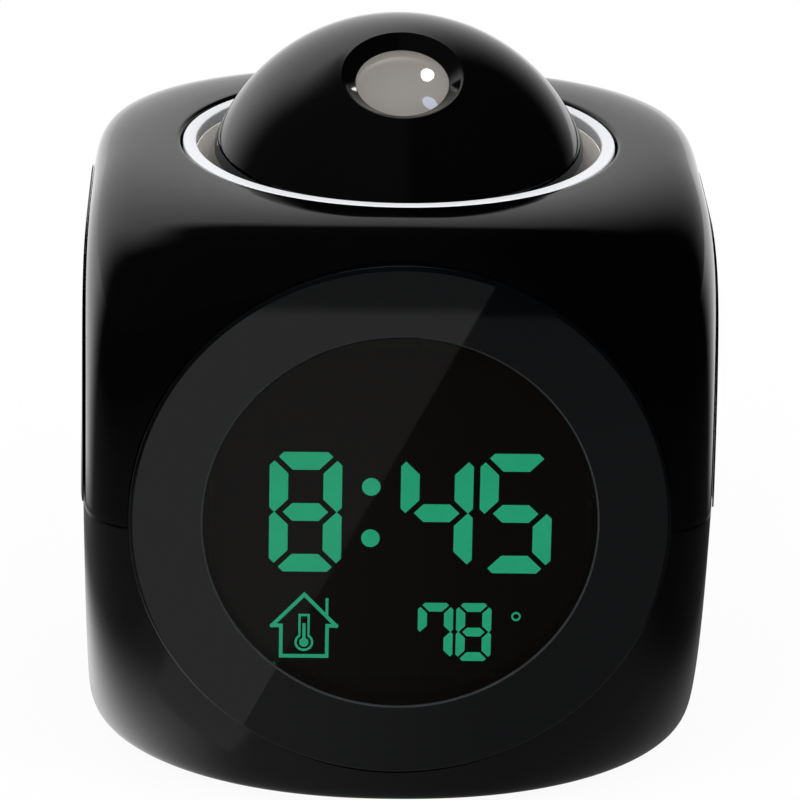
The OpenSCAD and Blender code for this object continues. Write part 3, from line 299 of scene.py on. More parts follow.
def skin(name, rings):
    """A grid that is bent over a row of closed rings and joined where it meets itself."""
    deselect()
    around, rows = len(rings[0]), len(rings) - 1
    bpy.ops.mesh.primitive_grid_add(x_subdivisions=around, y_subdivisions=rows, size=1)
    made = bpy.context.object
    made.name = name
    for vertex in made.data.vertices:
        i, j = round((vertex.co.x + 0.5) * around), round((vertex.co.y + 0.5) * rows)
        vertex.co = Vector(rings[j][i % around]) * MM
    bpy.ops.object.mode_set(mode="EDIT")
    bpy.ops.mesh.select_all(action="SELECT")
    bpy.ops.mesh.remove_doubles(threshold=1e-7)
    bpy.ops.mesh.normals_make_consistent(inside=False)
    bpy.ops.object.mode_set(mode="OBJECT")
    return made


def modify(piece, kind, **settings):
    """Adds a modifier with its settings and applies it."""
    deselect()
    piece.select_set(True)
    bpy.context.view_layer.objects.active = piece
    bpy.ops.object.modifier_add(type=kind)
    modifier = piece.modifiers[-1]
    for key, value in settings.items():
        setattr(modifier, key, value)
    bpy.ops.object.modifier_apply(modifier=modifier.name)
    return piece


def join(pieces):
    deselect()
    for piece in pieces:
        piece.select_set(True)
    bpy.context.view_layer.objects.active = pieces[0]
    if len(pieces) > 1:
        bpy.ops.object.join()
    return pieces[0]


def cut(piece, *cutters):
    """Takes the joined cutters out of the piece."""
    cutter = join(list(cutters))
    modify(piece, "BOOLEAN", operation="DIFFERENCE", solver="EXACT", object=cutter)
    bpy.data.objects.remove(cutter)
    return piece


def drum(r, z0, z1, steps=64, at=(0, 0), turn=None):
    """A cylinder from z0 to z1, in millimetres; turn then moves it to its place."""
    deselect()
    bpy.ops.mesh.primitive_cylinder_add(vertices=steps, radius=r * MM, depth=(z1 - z0) * MM,
                                        location=(at[0] * MM, at[1] * MM, (z0 + z1) / 2 * MM))
    return settle(bpy.context.object, turn)


def settle(piece, turn=None):
    """Moves the piece by the matrix turn and puts its place into its mesh."""
    deselect()
    piece.select_set(True)
    bpy.context.view_layer.objects.active = piece
    bpy.context.view_layer.update()
    if turn is not None:
        piece.matrix_world = turn @ piece.matrix_world
    bpy.ops.object.transform_apply(location=True, rotation=True, scale=True)
    return piece


def facing(axis_turn, y, z):
    """Turns +Z to +Y (axis_turn -90) or to -Y (90), then moves to y and z in millimetres."""
    return Matrix.Translation((0, y * MM, z * MM)) @ Matrix.Rotation(math.radians(axis_turn), 4, "X")


def bevel(piece, width, segments):
    """Breaks the sharp edges of the piece over a width in millimetres."""
    return modify(piece, "BEVEL", width=width * MM, segments=segments, limit_method="ANGLE",
                  angle_limit=math.radians(60))


def piece_done(piece, name, material, body, *stands_for, angle=32):
    """Smooths the piece, gives it its finish, and lets it ride and stand for its CAD nodes."""
    deselect()
    piece.select_set(True)
    bpy.context.view_layer.objects.active = piece
    bpy.ops.object.shade_smooth_by_angle(angle=math.radians(angle))
    piece.name = piece.data.name = name
    if material:
        piece.data.materials.clear()
        piece.data.materials.append(material)
    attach(piece, body)
    if stands_for:
        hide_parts(*stands_for)
    return piece


def gloss_finish(name, colour, smooth, hazy, waviness, index=1.5):
    """Moulded gloss: faint haze from handling and a barely wavy surface."""
    made = Finish(name)
    haze = made.noise(55, 4)
    fine = made.noise(700, 2)
    tone = made.mix(haze, colour, tuple(1.6 * c for c in colour))
    wavy = made.bump(made.noise(150, 2), 0.00004, waviness)
    rough = made.between(haze, 0.3, 0.7, smooth, hazy) + made.between(fine, 0.3, 0.8, 0, 0.02)
    return made.shaded(Base_Color=tone, IOR=index, Normal=wavy, Roughness=rough)


piano_black = gloss_finish("piano_black_abs", (0.0003, 0.0003, 0.0003), 0.05, 0.07, 0.06, 1.38)

FRONT_R, FRONT_Z = 34.4, 40.1
REAR_R, REAR_Z = 27.0, 39.4
CUT_IN, CUT_LENGTH = 8, 20


def front_and_rear_cutters():
    """Cylinders that open the case for the bezel and for the rear panel."""
    return [drum(FRONT_R + CLEARANCE, 0, CUT_LENGTH, 256, turn=facing(90, -HALF_D + CUT_IN, FRONT_Z)),
            drum(REAR_R + CLEARANCE, 0, CUT_LENGTH, 192, turn=facing(-90, HALF_D - CUT_IN, REAR_Z))]


def circle(r, z):
    return [(r * math.cos(2 * math.pi * k / AROUND), r * math.sin(2 * math.pi * k / AROUND), z)
            for k in range(AROUND)]


def lerp(a, b, t):
    """The ring of points a share t of the way from ring a to ring b."""
    return [tuple(p + (q - p) * t for p, q in zip(u, v)) for u, v in zip(a, b)]


rings = shell_rings(1, UPPER_HEIGHT, CROWN_SQUARE, CROWN_BLEND, CROWN_EDGE, CROWN_END, 30, 44)
to_opening = circle(HEAD_OPENING_R + OPENING_ROUND, OPENING_TOP)
rings += [lerp(rings[-1], to_opening, t) for t in (0.35, 0.7)]
rings += [circle(HEAD_OPENING_R + OPENING_ROUND * (1 - math.sin(a)),
                 OPENING_TOP - OPENING_ROUND * (1 - math.cos(a)))
          for a in (math.pi / 16 * k for k in range(9))]
rings.append(circle(HEAD_OPENING_R, CASE_TOP - CASE_WALL))
upper = modify(skin("upper_half", rings), "SOLIDIFY", thickness=CASE_WALL * MM, offset=-1)
cut(upper, *front_and_rear_cutters())
piece_done(upper, "case_upper_half", piano_black, "housing", "upper_shell")

# ---------------------------------------------------------------- lower shell
# Lower half of the case: the same ABS with a finer, satin gloss. Its floor is open for the
# battery compartment, and has pockets for the feet and deep holes for the case screws.
LOWER_HEIGHT, BASE_EDGE, BASE_SQUARE, BASE_BLEND, BASE_END = 37.8, 32.0, 2.15, 0.96, 0.82
FOOT_X, FOOT_Y, FOOT_R, FOOT_HEIGHT, FOOT_SINK = 18.0, 28.0, 4.5, 0.8, 1.2
POST_R, POST_LOW, POST_TOP, PILOT_R = 3.6, 2.6, 36, 1.35
POST_X, POST_Y, COUNTERBORE_R, SCREW_SEAT_Z = 28.9, 23.2, 2.5, 26.0
TRAY_HALF_L, TRAY_HALF_W = 25.25, 16.8


def at_corners(x, y):
    """The four places that mirror (x, y) to every side."""
    return [(i * x, j * y) for i in (-1, 1) for j in (-1, 1)]


def block(x0, x1, y0, y1, z0, z1, round_edges=0.0, segments=3, sides_only=False):
    """A box between its faces in millimetres, with rounded edges, or only the upright ones."""
    deselect()
    middle = tuple((a + b) / 2 * MM for a, b in ((x0, x1), (y0, y1), (z0, z1)))
    bpy.ops.mesh.primitive_cube_add(size=MM, location=middle)
    made = bpy.context.object
    made.scale = (x1 - x0, y1 - y0, z1 - z0)
    settle(made)
    if round_edges:
        bpy.ops.object.mode_set(mode="EDIT")
        bpy.ops.mesh.select_all(action="DESELECT")
        bpy.ops.object.mode_set(mode="OBJECT")
        for edge in made.data.edges:
            a, b = (made.data.vertices[k].co for k in edge.vertices)
            upright = abs(a.z - b.z) > 1e-6
            edge.select = upright or not sides_only
        bpy.ops.object.mode_set(mode="EDIT")
        bpy.ops.mesh.select_mode(type="EDGE")
        bpy.ops.mesh.bevel(offset=round_edges * MM, segments=segments, affect="EDGES")
        bpy.ops.mesh.select_mode(type="VERT")
        bpy.ops.object.mode_set(mode="OBJECT")
    return made


satin_black = gloss_finish("satin_black_abs", (0.0003, 0.0003, 0.0004), 0.12, 0.16, 0.15)
rings = shell_rings(-1, LOWER_HEIGHT, BASE_SQUARE, BASE_BLEND, BASE_EDGE, BASE_END, 44, 36)
lower = skin("lower_half", rings)
bpy.ops.object.mode_set(mode="EDIT")
bpy.ops.mesh.select_all(action="DESELECT")
bpy.ops.object.mode_set(mode="OBJECT")
lowest = min(v.co.z for v in lower.data.vertices)
for edge in lower.data.edges:
    edge.select = all(lower.data.vertices[k].co.z < lowest + 1e-6 for k in edge.vertices)
bpy.ops.object.mode_set(mode="EDIT")
bpy.ops.mesh.edge_face_add()
bpy.ops.mesh.select_all(action="SELECT")
bpy.ops.mesh.normals_make_consistent(inside=False)
bpy.ops.object.mode_set(mode="OBJECT")
modify(lower, "SOLIDIFY", thickness=CASE_WALL * MM, offset=-1)
cut(lower, *front_and_rear_cutters(),
    block(-TRAY_HALF_L, TRAY_HALF_L, -TRAY_HALF_W, TRAY_HALF_W, -1, 6, 0.6, 3, True),
    *[drum(FOOT_R + CLEARANCE, -1, FOOT_HEIGHT + FOOT_SINK, 48, at)
      for at in at_corners(FOOT_X, FOOT_Y)],
    *[drum(COUNTERBORE_R, -1, 8, 40, at) for at in at_corners(POST_X, POST_Y)])
posts = []
for at in at_corners(POST_X, POST_Y):
    post = drum(POST_R, POST_LOW, POST_TOP, 40, at)
    posts.append(cut(post, drum(COUNTERBORE_R, 1, SCREW_SEAT_Z, 40, at),
                     drum(PILOT_R, SCREW_SEAT_Z - 1, POST_TOP + 1, 24, at)))
join([lower, *posts])
piece_done(lower, "case_lower_half", satin_black, "housing", "lower_shell")

# ---------------------------------------------------------------- side panels
# Thin plates of the same glossy ABS with an arched top, stuck on both sides of the upper shell.
# Each follows the shell's curve, with its lower edge along the seam.
PANEL_HEIGHT, PANEL_REACH, PANEL_THICK, PANEL_LIFT = 32.0, 30.0, 0.20, 0.08
ARCH, ARCH_SHARE = 3, 0.985  # power of the arch, and the share of it that the plate takes up


def panel_point(side, u, v):
    """Point of a plate's back: u runs from front to back (-1 to 1), v from the seam to the arch."""
    rise = PANEL_HEIGHT * v
    share = breadth(rise / UPPER_HEIGHT, CROWN_EDGE)
    n = squareness(rise / UPPER_HEIGHT, CROWN_SQUARE, CROWN_BLEND)
    y = u * PANEL_REACH * (1 - (ARCH_SHARE * v) ** ARCH) ** (1 / ARCH)
    x = HALF_W * share * (1 - (abs(y) / (HALF_D * share)) ** n) ** (1 / n) + PANEL_LIFT
    return Vector((side * x, y, SEAM_Z + 0.1 + rise)) * MM


for side, word in ((-1, "left"), (1, "right")):
    deselect()
    bpy.ops.mesh.primitive_grid_add(x_subdivisions=96, y_subdivisions=72, size=2)
    plate = bpy.context.object
    for vertex in plate.data.vertices:
        vertex.co = panel_point(side, vertex.co.x, (vertex.co.y + 1) / 2)
    bpy.ops.object.mode_set(mode="EDIT")
    bpy.ops.mesh.select_all(action="SELECT")
    if side * plate.data.polygons[0].normal.x < 0:
        bpy.ops.mesh.flip_normals()
    bpy.ops.object.mode_set(mode="OBJECT")
    modify(plate, "SOLIDIFY", thickness=PANEL_THICK * MM, offset=1)
    bevel(plate, 0.06, 2)
    piece_done(plate, f"side_plate_{word}", piano_black, "housing", f"side_panel_{word}")

# ---------------------------------------------------------------- feet and case screws
# Soft rubber discs pressed into the floor's pockets, and the four steel screws that clamp the
# case, deep in their holes.


def turned(name, profile, steps=128, turn=None, closed=True):
    """A profile of (radius, height) points in millimetres, spun round the Z axis."""
    deselect()
    bpy.ops.mesh.primitive_plane_add(size=MM, location=(profile[0][0] * MM, 0, profile[0][1] * MM))
    made = bpy.context.object
    bpy.ops.object.mode_set(mode="EDIT")
    bpy.ops.mesh.merge(type="CENTER")
    for a, b in zip(profile, profile[1:] + profile[:1] * closed):
        bpy.ops.mesh.extrude_region_move(
            TRANSFORM_OT_translate={"value": ((b[0] - a[0]) * MM, 0, (b[1] - a[1]) * MM)})
    bpy.ops.mesh.select_all(action="SELECT")
    bpy.ops.mesh.spin(steps=steps, angle=2 * math.pi, center=(0, 0, 0), axis=(0, 0, 1))
    bpy.ops.mesh.select_all(action="SELECT")
    bpy.ops.mesh.remove_doubles(threshold=1e-6)
    bpy.ops.mesh.dissolve_degenerate(threshold=1e-7)
    bpy.ops.mesh.normals_make_consistent(inside=False)
    bpy.ops.object.mode_set(mode="OBJECT")
    settle(made, turn)
    made.name = name
    return made


rubber = Finish("foot_rubber")
grit = rubber.noise(2200, 3)
rubber_tone = rubber.ramp(grit, (0.3, (0.012, 0.012, 0.012)), (0.8, (0.03, 0.03, 0.03)))
foot_rubber = rubber.shaded(Base_Color=rubber_tone, Roughness=0.78,
                            Normal=rubber.bump(grit, 0.00008, 0.6))
foot_top = FOOT_HEIGHT + FOOT_SINK
foot_profile = [(0, 0.12), (3.1, 0.12), (3.3, 0), (4.1, 0), (4.42, 0.32), (4.42, foot_top),
                (0, foot_top)]
feet = [turned("foot", foot_profile, 48, Matrix.Translation((x * MM, y * MM, 0)), closed=False)
        for x, y in at_corners(FOOT_X, FOOT_Y)]
piece_done(join(feet), "rubber_feet_pads", foot_rubber, "housing", "rubber_feet")


def metal_finish(name, colour, rough, grain):
    """Plated or bare metal with fine random grain and slightly uneven shine."""
    made = Finish(name)
    fine = made.noise(grain, 3)
    return made.shaded(Base_Color=made.mix(fine, tuple(0.82 * c for c in colour), colour),
                       Metallic=1.0, Roughness=made.between(fine, 0.3, 0.7, rough * 0.8, rough * 1.2),
                       Normal=made.bump(fine, 0.00001, 0.3))


def speckled(name, scale, low, high, detail=2, **sockets):
    """A finish whose colour drifts between two tones with noise of this scale."""
    made = Finish(name)
    return made.shaded(Base_Color=made.mix(made.noise(scale, detail), low, high), **sockets)


def cad_finish(material, *names):
    """A CAD node whose shape is right keeps its mesh and takes this finish."""
    for name in names:
        nodes[name].data.materials.clear()
        nodes[name].data.materials.append(material)


zinc_steel = metal_finish("zinc_plated_steel", (0.62, 0.62, 0.60), 0.32, 3000)
cad_finish(zinc_steel, "case_screws")

# ---------------------------------------------------------------- front bezel
# Flat round bezel of dark grey gloss plastic; its bevel round the window is painted a lighter grey
# as a painted highlight. Its skirt goes through the case wall, and four posts carry the main board.
FACE_Y = -40.75
WINDOW_R, LINE_W = 25.0, 0.25
RIM_ROUND, FACE_THICK, SKIRT_IN, SKIRT_DEEP = 0.5, 2.3, 32.5, 6.7
SEAT_R, SEAT_DEEP = 26.5, 1.0
TAB_W, TAB_OUT, TAB_FROM = 8, 1.8, 5.5


def arc(r_mid, z_mid, radius, start, stop, steps):
    """Points of an arc in a profile; angles in degrees from the radius direction."""
    turns = [math.radians(start + (stop - start) * k / steps) for k in range(steps + 1)]
    return [(r_mid + radius * math.cos(turn), z_mid + radius * math.sin(turn)) for turn in turns]


to_front = facing(-90, FACE_Y, FRONT_Z)
profile = [(WINDOW_R, SEAT_DEEP), (WINDOW_R, LINE_W), (WINDOW_R + LINE_W, 0), (FRONT_R - 0.54, 0)]
profile += arc(FRONT_R - RIM_ROUND, RIM_ROUND, RIM_ROUND, -90, 0, 6)
profile += [(FRONT_R, SKIRT_DEEP), (SKIRT_IN, SKIRT_DEEP), (SKIRT_IN, FACE_THICK),
            (SEAT_R, FACE_THICK), (SEAT_R, SEAT_DEEP)]
bezel = turned("bezel", profile, 256, to_front)
tabs = []
for angle in (45, 135, 225, 315):
    tab = block(FRONT_R - 0.6, FRONT_R + TAB_OUT, -TAB_W / 2, TAB_W / 2, TAB_FROM, SKIRT_DEEP)
    tabs.append(settle(tab, to_front @ Matrix.Rotation(math.radians(angle), 4, "Z")))
for x, y in at_corners(27.3, 13):
    tabs.append(cut(drum(2, 1.8, 6.8, 32, (x, y), to_front),
                    drum(0.8, 3.3, 8, 24, (x, y), to_front)))
bezel = join([bezel, *tabs])
slate = Finish("slate_gloss_plastic")
cloudy = slate.noise(38, 3)
slate_gloss = slate.shaded(
    Base_Color=slate.mix(cloudy, (0.0008, 0.0010, 0.0013), (0.0012, 0.0014, 0.0018)),
    Roughness=slate.between(cloudy, 0.3, 0.7, 0.015, 0.030), IOR=1.5,
    Normal=slate.bump(slate.noise(90, 2), 0.00001, 0.02))
piece_done(bezel, "bezel_disc", slate_gloss, "housing", "front_bezel")
# Painted highlight: the faces of the narrow bevel round the window take a lighter grey, standing in
# for light caught on that edge.
bezel.data.materials.append(speckled("bevel_painted_highlight", 500, (0.030, 0.032, 0.035),
                                     (0.050, 0.053, 0.057), Metallic=0.3, Roughness=0.3))
for face in bezel.data.polygons:
    x, y, z = (c / MM for c in face.center)
    if math.hypot(x, z - FRONT_Z) < WINDOW_R + LINE_W + 0.01 and y < FACE_Y + 0.3:
        face.material_index = 1

# ---------------------------------------------------------------- display
# Smoked window with a stepped rim, and behind it the LCD with lit green symbols in its frame,
# the light guide, the contact strips and the main board.
window_profile = [(0, 0.1), (24.95, 0.1), (24.95, 1.05), (26.45, 1.05), (26.45, 2.1), (0, 2.1)]
window = turned("window", window_profile, 256, to_front, closed=False)
smoke = Finish("smoked_acrylic")
smudge = smoke.noise(45, 3)
smoked_acrylic = smoke.shaded(
    Base_Color=smoke.mix(smudge, (0.0010, 0.0004, 0.0001), (0.0016, 0.0006, 0.0001)),
    Roughness=smoke.between(smudge, 0.3, 0.7, 0.015, 0.030), IOR=1.39, Alpha=0.55)
piece_done(window, "window_disc", smoked_acrylic, "housing", "display_window")

glow = Finish("lit_green_segments")
patch = glow.noise(160, 2)
green = glow.mix(patch, (0.030, 0.72, 0.36), (0.042, 0.86, 0.44))
cad_finish(glow.shaded(Base_Color=green, Roughness=0.4, Emission_Color=green,
                       Emission_Strength=1.55), "display_symbols")
cell = Finish("lcd_dark_cell")
rows = cell.node("ShaderNodeTexWave", {"wave_type": "BANDS", "bands_direction": "Z"},
                 {"Vector": cell.place(), "Scale": 500.0})
cad_finish(cell.shaded(Base_Color=cell.mix(rows, (0.0014, 0.0008, 0.0004), (0.0020, 0.0012, 0.0006)),
                       Roughness=0.3), "lcd_glass")
cad_finish(speckled("black_frame_plastic", 300, (0.0014, 0.0008, 0.0004), (0.0020, 0.0012, 0.0006),
                    Roughness=0.45), "lcd_frame")
cad_finish(speckled("clear_light_guide", 800, (0.60, 0.72, 0.68), (0.72, 0.82, 0.78),
                    Roughness=0.12, IOR=1.49, Alpha=0.7), "light_guide")
strip = Finish("contact_strip_rubber")
bands = strip.node("ShaderNodeTexWave", {"bands_direction": "X"},
                   {"Vector": strip.place(), "Scale": 900.0})
cad_finish(strip.shaded(Base_Color=strip.mix(bands, (0.55, 0.20, 0.24), (0.08, 0.05, 0.05)),
                        Roughness=0.6), "zebra_strips")


def board_finish(name):
    """Green solder mask over copper tracks, with tinned pads."""
    made = Finish(name)
    tracks = made.node("ShaderNodeTexBrick", {"offset": 0.5},
                       {"Vector": made.place(), "Scale": 260.0, "Mortar Size": 0.06,
                        "Color1": (0.006, 0.075, 0.028), "Color2": (0.004, 0.055, 0.022),
                        "Mortar": (0.016, 0.15, 0.05)})
    cells = made.node("ShaderNodeTexVoronoi", None, {"Vector": made.place(), "Scale": 420.0})
    pads = made.between(cells, 0.16, 0.12)
    return made.shaded(Base_Color=made.mix(pads, tracks, (0.55, 0.55, 0.52)), Metallic=pads * 0.9,
                       Roughness=made.between(pads, 0.0, 1.0, 0.35, 0.25),
                       Normal=made.bump(pads, 0.00003, 0.5))


board_green = board_finish("green_circuit_board")
cad_finish(board_green, "main_board", "snooze_board", "projector_board", "key_board", "power_board")
epoxy = Finish("black_epoxy_parts")
speck = epoxy.noise(1800, 2)
black_epoxy = epoxy.shaded(Base_Color=epoxy.mix(speck, (0.010, 0.010, 0.011), (0.022, 0.022, 0.024)),
                           Roughness=0.5, Normal=epoxy.bump(speck, 0.00002, 0.4))
cad_finish(black_epoxy, "board_parts", "snooze_switch", "key_switches")
cad_finish(speckled("led_bodies", 1200, (0.75, 0.78, 0.55), (0.85, 0.88, 0.72), 1, Roughness=0.25),
           "backlight_leds")
cad_finish(zinc_steel, "board_screws", "retainer_screws", "key_board_screws")

# ---------------------------------------------------------------- trim ring and bowl
# Silver-lacquered ABS: the flat ring on the bowl's rim, and the bowl itself with its stop flange,
# its three legs on the return springs and the foot that presses the snooze switch. Both slide down
# when pressed. The bowl's paint is tinted beige, a painted reflection, and a lamp above lights only
# the bowl.
BALL_Z, BALL_R = 68.85, 25.95
BOWL_IN, BOWL_OUT, BOWL_TOP, RING_TOP = 26.55, 27.95, 76.7, 78.3
RING_IN, RING_OUT, RING_ROUND, RING_FLAT = 26.6, 28.35, 0.2, 0.25
BOWL_HOLE_R, FLANGE_R, FLANGE_LOW, FLANGE_TOP = 9, 29.75, 67.3, 69.3
PIN_HOLE_R, LEG_R, LEG_REACH, LEG_LOW = 2.0, 2.4, 27.2, 46
SNOOZE_FOOT_R, SNOOZE_X = 2.2, 16
ring_profile = [(RING_IN, BOWL_TOP),
                *arc(RING_IN + RING_ROUND, RING_TOP - RING_ROUND, RING_ROUND, 180, 90, 5),
                (RING_IN + RING_FLAT, RING_TOP), (RING_OUT - RING_FLAT, RING_TOP),
                *arc(RING_OUT - RING_ROUND, RING_TOP - RING_ROUND, RING_ROUND, 90, 0, 5),
                (RING_OUT, BOWL_TOP)]
pearl = Finish("silver_paint")
flake = pearl.noise(2600, 2)
silver_paint = pearl.shaded(Base_Color=pearl.mix(flake, (0.84, 0.85, 0.88), (0.86, 0.87, 0.90)),
                            Roughness=pearl.between(flake, 0.3, 0.7, 0.34, 0.38))
# The bowl is the same silver paint, tinted warm beige: a painted reflection standing in for the beige
# reflections in its wall.
inner = Finish("silver_paint_painted_reflection")
flake, tide = inner.noise(2600, 2), inner.noise(90, 2)
warm_bowl_paint_painted_reflection = inner.shaded(Base_Color=inner.mix(tide, (0.86, 0.82, 0.76), (0.92, 0.88, 0.82)),
                          Roughness=inner.between(flake, 0.3, 0.7, 0.34, 0.38))
piece_done(turned("ring", ring_profile, 256), "silver_ring", silver_paint, "head", "trim_ring")

low_in, low_out = (math.degrees(math.acos(BOWL_HOLE_R / r)) for r in (BOWL_IN, BOWL_OUT))
flange = math.degrees(math.asin((BALL_Z - FLANGE_LOW) / BOWL_OUT))
bowl_profile = [(BOWL_IN, BOWL_TOP), *arc(0, BALL_Z, BOWL_IN, 0, -low_in, 48),
                *arc(0, BALL_Z, BOWL_OUT, -low_out, -flange, 44), (FLANGE_R, FLANGE_LOW),
                (FLANGE_R, FLANGE_TOP), (BOWL_OUT, FLANGE_TOP), (BOWL_OUT, BOWL_TOP)]
bowl = turned("bowl", bowl_profile, 192)
at_ball = Matrix.Translation((0, 0, BALL_Z * MM))
sideways = at_ball @ Matrix.Rotation(math.pi / 2, 4, "Y")
cut(bowl, drum(PIN_HOLE_R, -40, 40, 40, turn=sideways))
MID_WALL = BOWL_IN + 0.7
legs = []
for a in (math.radians(angle) for angle in (90, 210, 330)):
    leg = drum(LEG_R, LEG_LOW, FLANGE_LOW + 0.3, 32,
               (LEG_REACH * math.cos(a), LEG_REACH * math.sin(a)))
    legs.append(cut(leg, drum(MID_WALL, 60, 80, 96)))
inside = turned("inside", [(0, BALL_Z), *arc(0, BALL_Z, MID_WALL, 0, -90, 32)], 64, closed=False)
snooze_foot = cut(drum(SNOOZE_FOOT_R, 43.5, 52, 32, (SNOOZE_X, 0)), inside)
bowl = join([bowl, *legs, snooze_foot])
piece_done(bowl, "silver_bowl", warm_bowl_paint_painted_reflection, "head", "head_bowl")
lights_only(lamp("bowl_lamp", (0, 0.05, 1.0), 1.2, 22), bowl)
cad_finish(zinc_steel, "pivot_pins", "return_springs")
inner_black = gloss_finish("inner_black_abs", (0.012, 0.012, 0.013), 0.45, 0.6, 0.5)
cad_finish(inner_black, "inner_chassis", "head_retainer", "battery_tray")
cad_finish(speckled("red_nylon", 600, (0.42, 0.03, 0.02), (0.52, 0.05, 0.03), Roughness=0.45),
           "snooze_plunger")

# ---------------------------------------------------------------- projector ball
# Two-part gloss black ball: the cap holds the lens in a coned recess, the base turns on the pins.
# A hairline gap shows where they meet.
LENS_TILT, SPLIT_LEAN, SPLIT_RISE = 28.0, 5.5, 10.4
RIM_W, RECESS_R, LENS_R = 23.27, 7.75, 6.0
BALL_WALL, SLEEVE_R, SPLIT_GAP = 1.6, 9.0, 0.3
LENS_CLEAR = LENS_R + 0.05
along_lens = at_ball @ Matrix.Rotation(math.radians(LENS_TILT), 4, "X")
from_axis = math.degrees(math.acos((RECESS_R + 0.35) / BALL_R))
sleeve_up = math.degrees(math.acos(SLEEVE_R / (BALL_R - BALL_WALL)))
recess_w = math.sqrt(BALL_R ** 2 - RECESS_R ** 2)
ball_profile = [(LENS_CLEAR, 22.87), (LENS_CLEAR, RIM_W), (RECESS_R - 0.25, recess_w - 0.30),
                (RECESS_R - 0.08, recess_w - 0.10), (RECESS_R + 0.12, recess_w - 0.03),
                *arc(0, 0, BALL_R, from_axis, -90, 120),
                *arc(0, 0, BALL_R - BALL_WALL, -90, sleeve_up, 60),
                (SLEEVE_R, 15.77), (7.45, 15.77), (7.45, 21.47), (6.65, 21.47), (6.65, 22.87)]
lean = Matrix.Rotation(math.radians(SPLIT_LEAN), 3, "X") @ Vector((0, 0, 1))


def half_ball(shift, keep_top):
    """The ball's wall on one side of the split plane, which is shifted along its lean."""
    made = turned("half_ball", ball_profile, 192, along_lens)
    bpy.ops.object.mode_set(mode="EDIT")
    bpy.ops.mesh.select_all(action="SELECT")
    bpy.ops.mesh.bisect(plane_co=Vector((0, 0, BALL_Z * MM)) + lean * (SPLIT_RISE + shift) * MM,
                        plane_no=lean, use_fill=True, clear_inner=keep_top, clear_outer=not keep_top)
    bpy.ops.mesh.select_all(action="SELECT")
    bpy.ops.mesh.normals_make_consistent(inside=False)
    bpy.ops.object.mode_set(mode="OBJECT")
    return made


gloss_ball = gloss_finish("ball_black_abs", (0.0006, 0.0006, 0.0006), 0.06, 0.09, 0.05, 1.55)
cap = half_ball(0, True)
at_split = at_ball @ Matrix.Rotation(math.radians(SPLIT_LEAN), 4, "X")
tongue = turned("tongue", [(20.8, 8.8), (21.8, 8.8), (21.8, 11.8), (20.8, 11.8)], 128, at_split)
piece_done(join([cap, tongue]), "ball_cap_shell", gloss_ball, "ball", "ball_cap")
base = half_ball(-SPLIT_GAP, False)
BUSH_R, BUSH_IN, BUSH_OUT, BORE_R, LEAD_HOLE_R = 4, 22.2, 25.0, 2.05, 6
cut(base, drum(LEAD_HOLE_R, 30, BALL_Z - 5, 64), drum(BORE_R, -40, 40, 40, turn=sideways))
bushes = [cut(drum(BUSH_R, x0, x1, 40, turn=sideways), drum(BORE_R, -40, 40, 40, turn=sideways))
          for x0, x1 in ((-BUSH_OUT, -BUSH_IN), (BUSH_IN, BUSH_OUT))]
piece_done(join([base, *bushes]), "ball_base_shell", gloss_ball, "ball", "ball_base")

# ---------------------------------------------------------------- projection optics
# Acrylic lens with a shallow dome and a slightly milky back, with two lamps that shine on it
# alone, and behind it the barrel with the slide LCD, the condenser and the red LED on its board.
DOME, LAMP_DISTANCE = 1.3, 0.8
dome_r = (LENS_R ** 2 + DOME ** 2) / (2 * DOME)
dome_low = math.degrees(math.asin((dome_r - DOME) / dome_r))
lens_profile = [*arc(0, RIM_W + DOME - dome_r, dome_r, 90, dome_low, 20), (LENS_R, 22.67),
                (6.6, 22.67), (6.6, 20.07), (0, 20.07)]
lens = turned("lens", lens_profile, 96, along_lens, closed=False)
acrylic = Finish("milky_acrylic_lens")
# Painted shade: the lens's base colour is darker towards its top, graded by height, with a little
# noise on the edge of the grade.
_, _, lens_height = acrylic.axes(acrylic.place())
painted_shade_jitter = acrylic.noise(120, 2)
lens_acrylic = acrylic.shaded(
    Base_Color=acrylic.mix(acrylic.between(lens_height + painted_shade_jitter * 0.001, 0.0885, 0.0955),
                           (0.22, 0.208, 0.192), (0.19, 0.172, 0.152)),
    Roughness=0.04, IOR=1.49, Transmission_Weight=0.12, Coat_Weight=0.6, Coat_Roughness=0.02)
piece_done(lens, "lens_dome", lens_acrylic, "ball", "projection_lens", angle=40)
at_lens = along_lens @ Vector((0, 0, (RIM_W + DOME) * MM))
for name, toward, size, height, turn, power, colour in (
        ("lens_lamp", (0.320, 0.417, 0.851), 0.125, 0.28, 34.5, 1.9, (1, 1, 1)),
        ("lens_lamp_low", (0.436, -0.178, 0.882), 0.19, 0.19, 0.0, 0.5, (0.62, 0.72, 1))):
    spot = lamp(name, at_lens + Vector(toward) * LAMP_DISTANCE, size, power, True)
    spot.data.shape, spot.data.size_y, spot.data.color = "ELLIPSE", height, colour
    spot.rotation_euler.rotate_axis("Z", math.radians(turn))
    lights_only(spot, lens)
cad_finish(inner_black, "lens_barrel")
cad_finish(speckled("optical_glass", 200, (0.72, 0.76, 0.78), (0.82, 0.85, 0.86),
                    Roughness=0.05, Transmission_Weight=0.8, IOR=1.5), "slide_lcd", "condenser_lens")
cad_finish(speckled("red_led", 500, (0.45, 0.01, 0.01), (0.6, 0.03, 0.02), 1, Roughness=0.15),
           "projector_led")

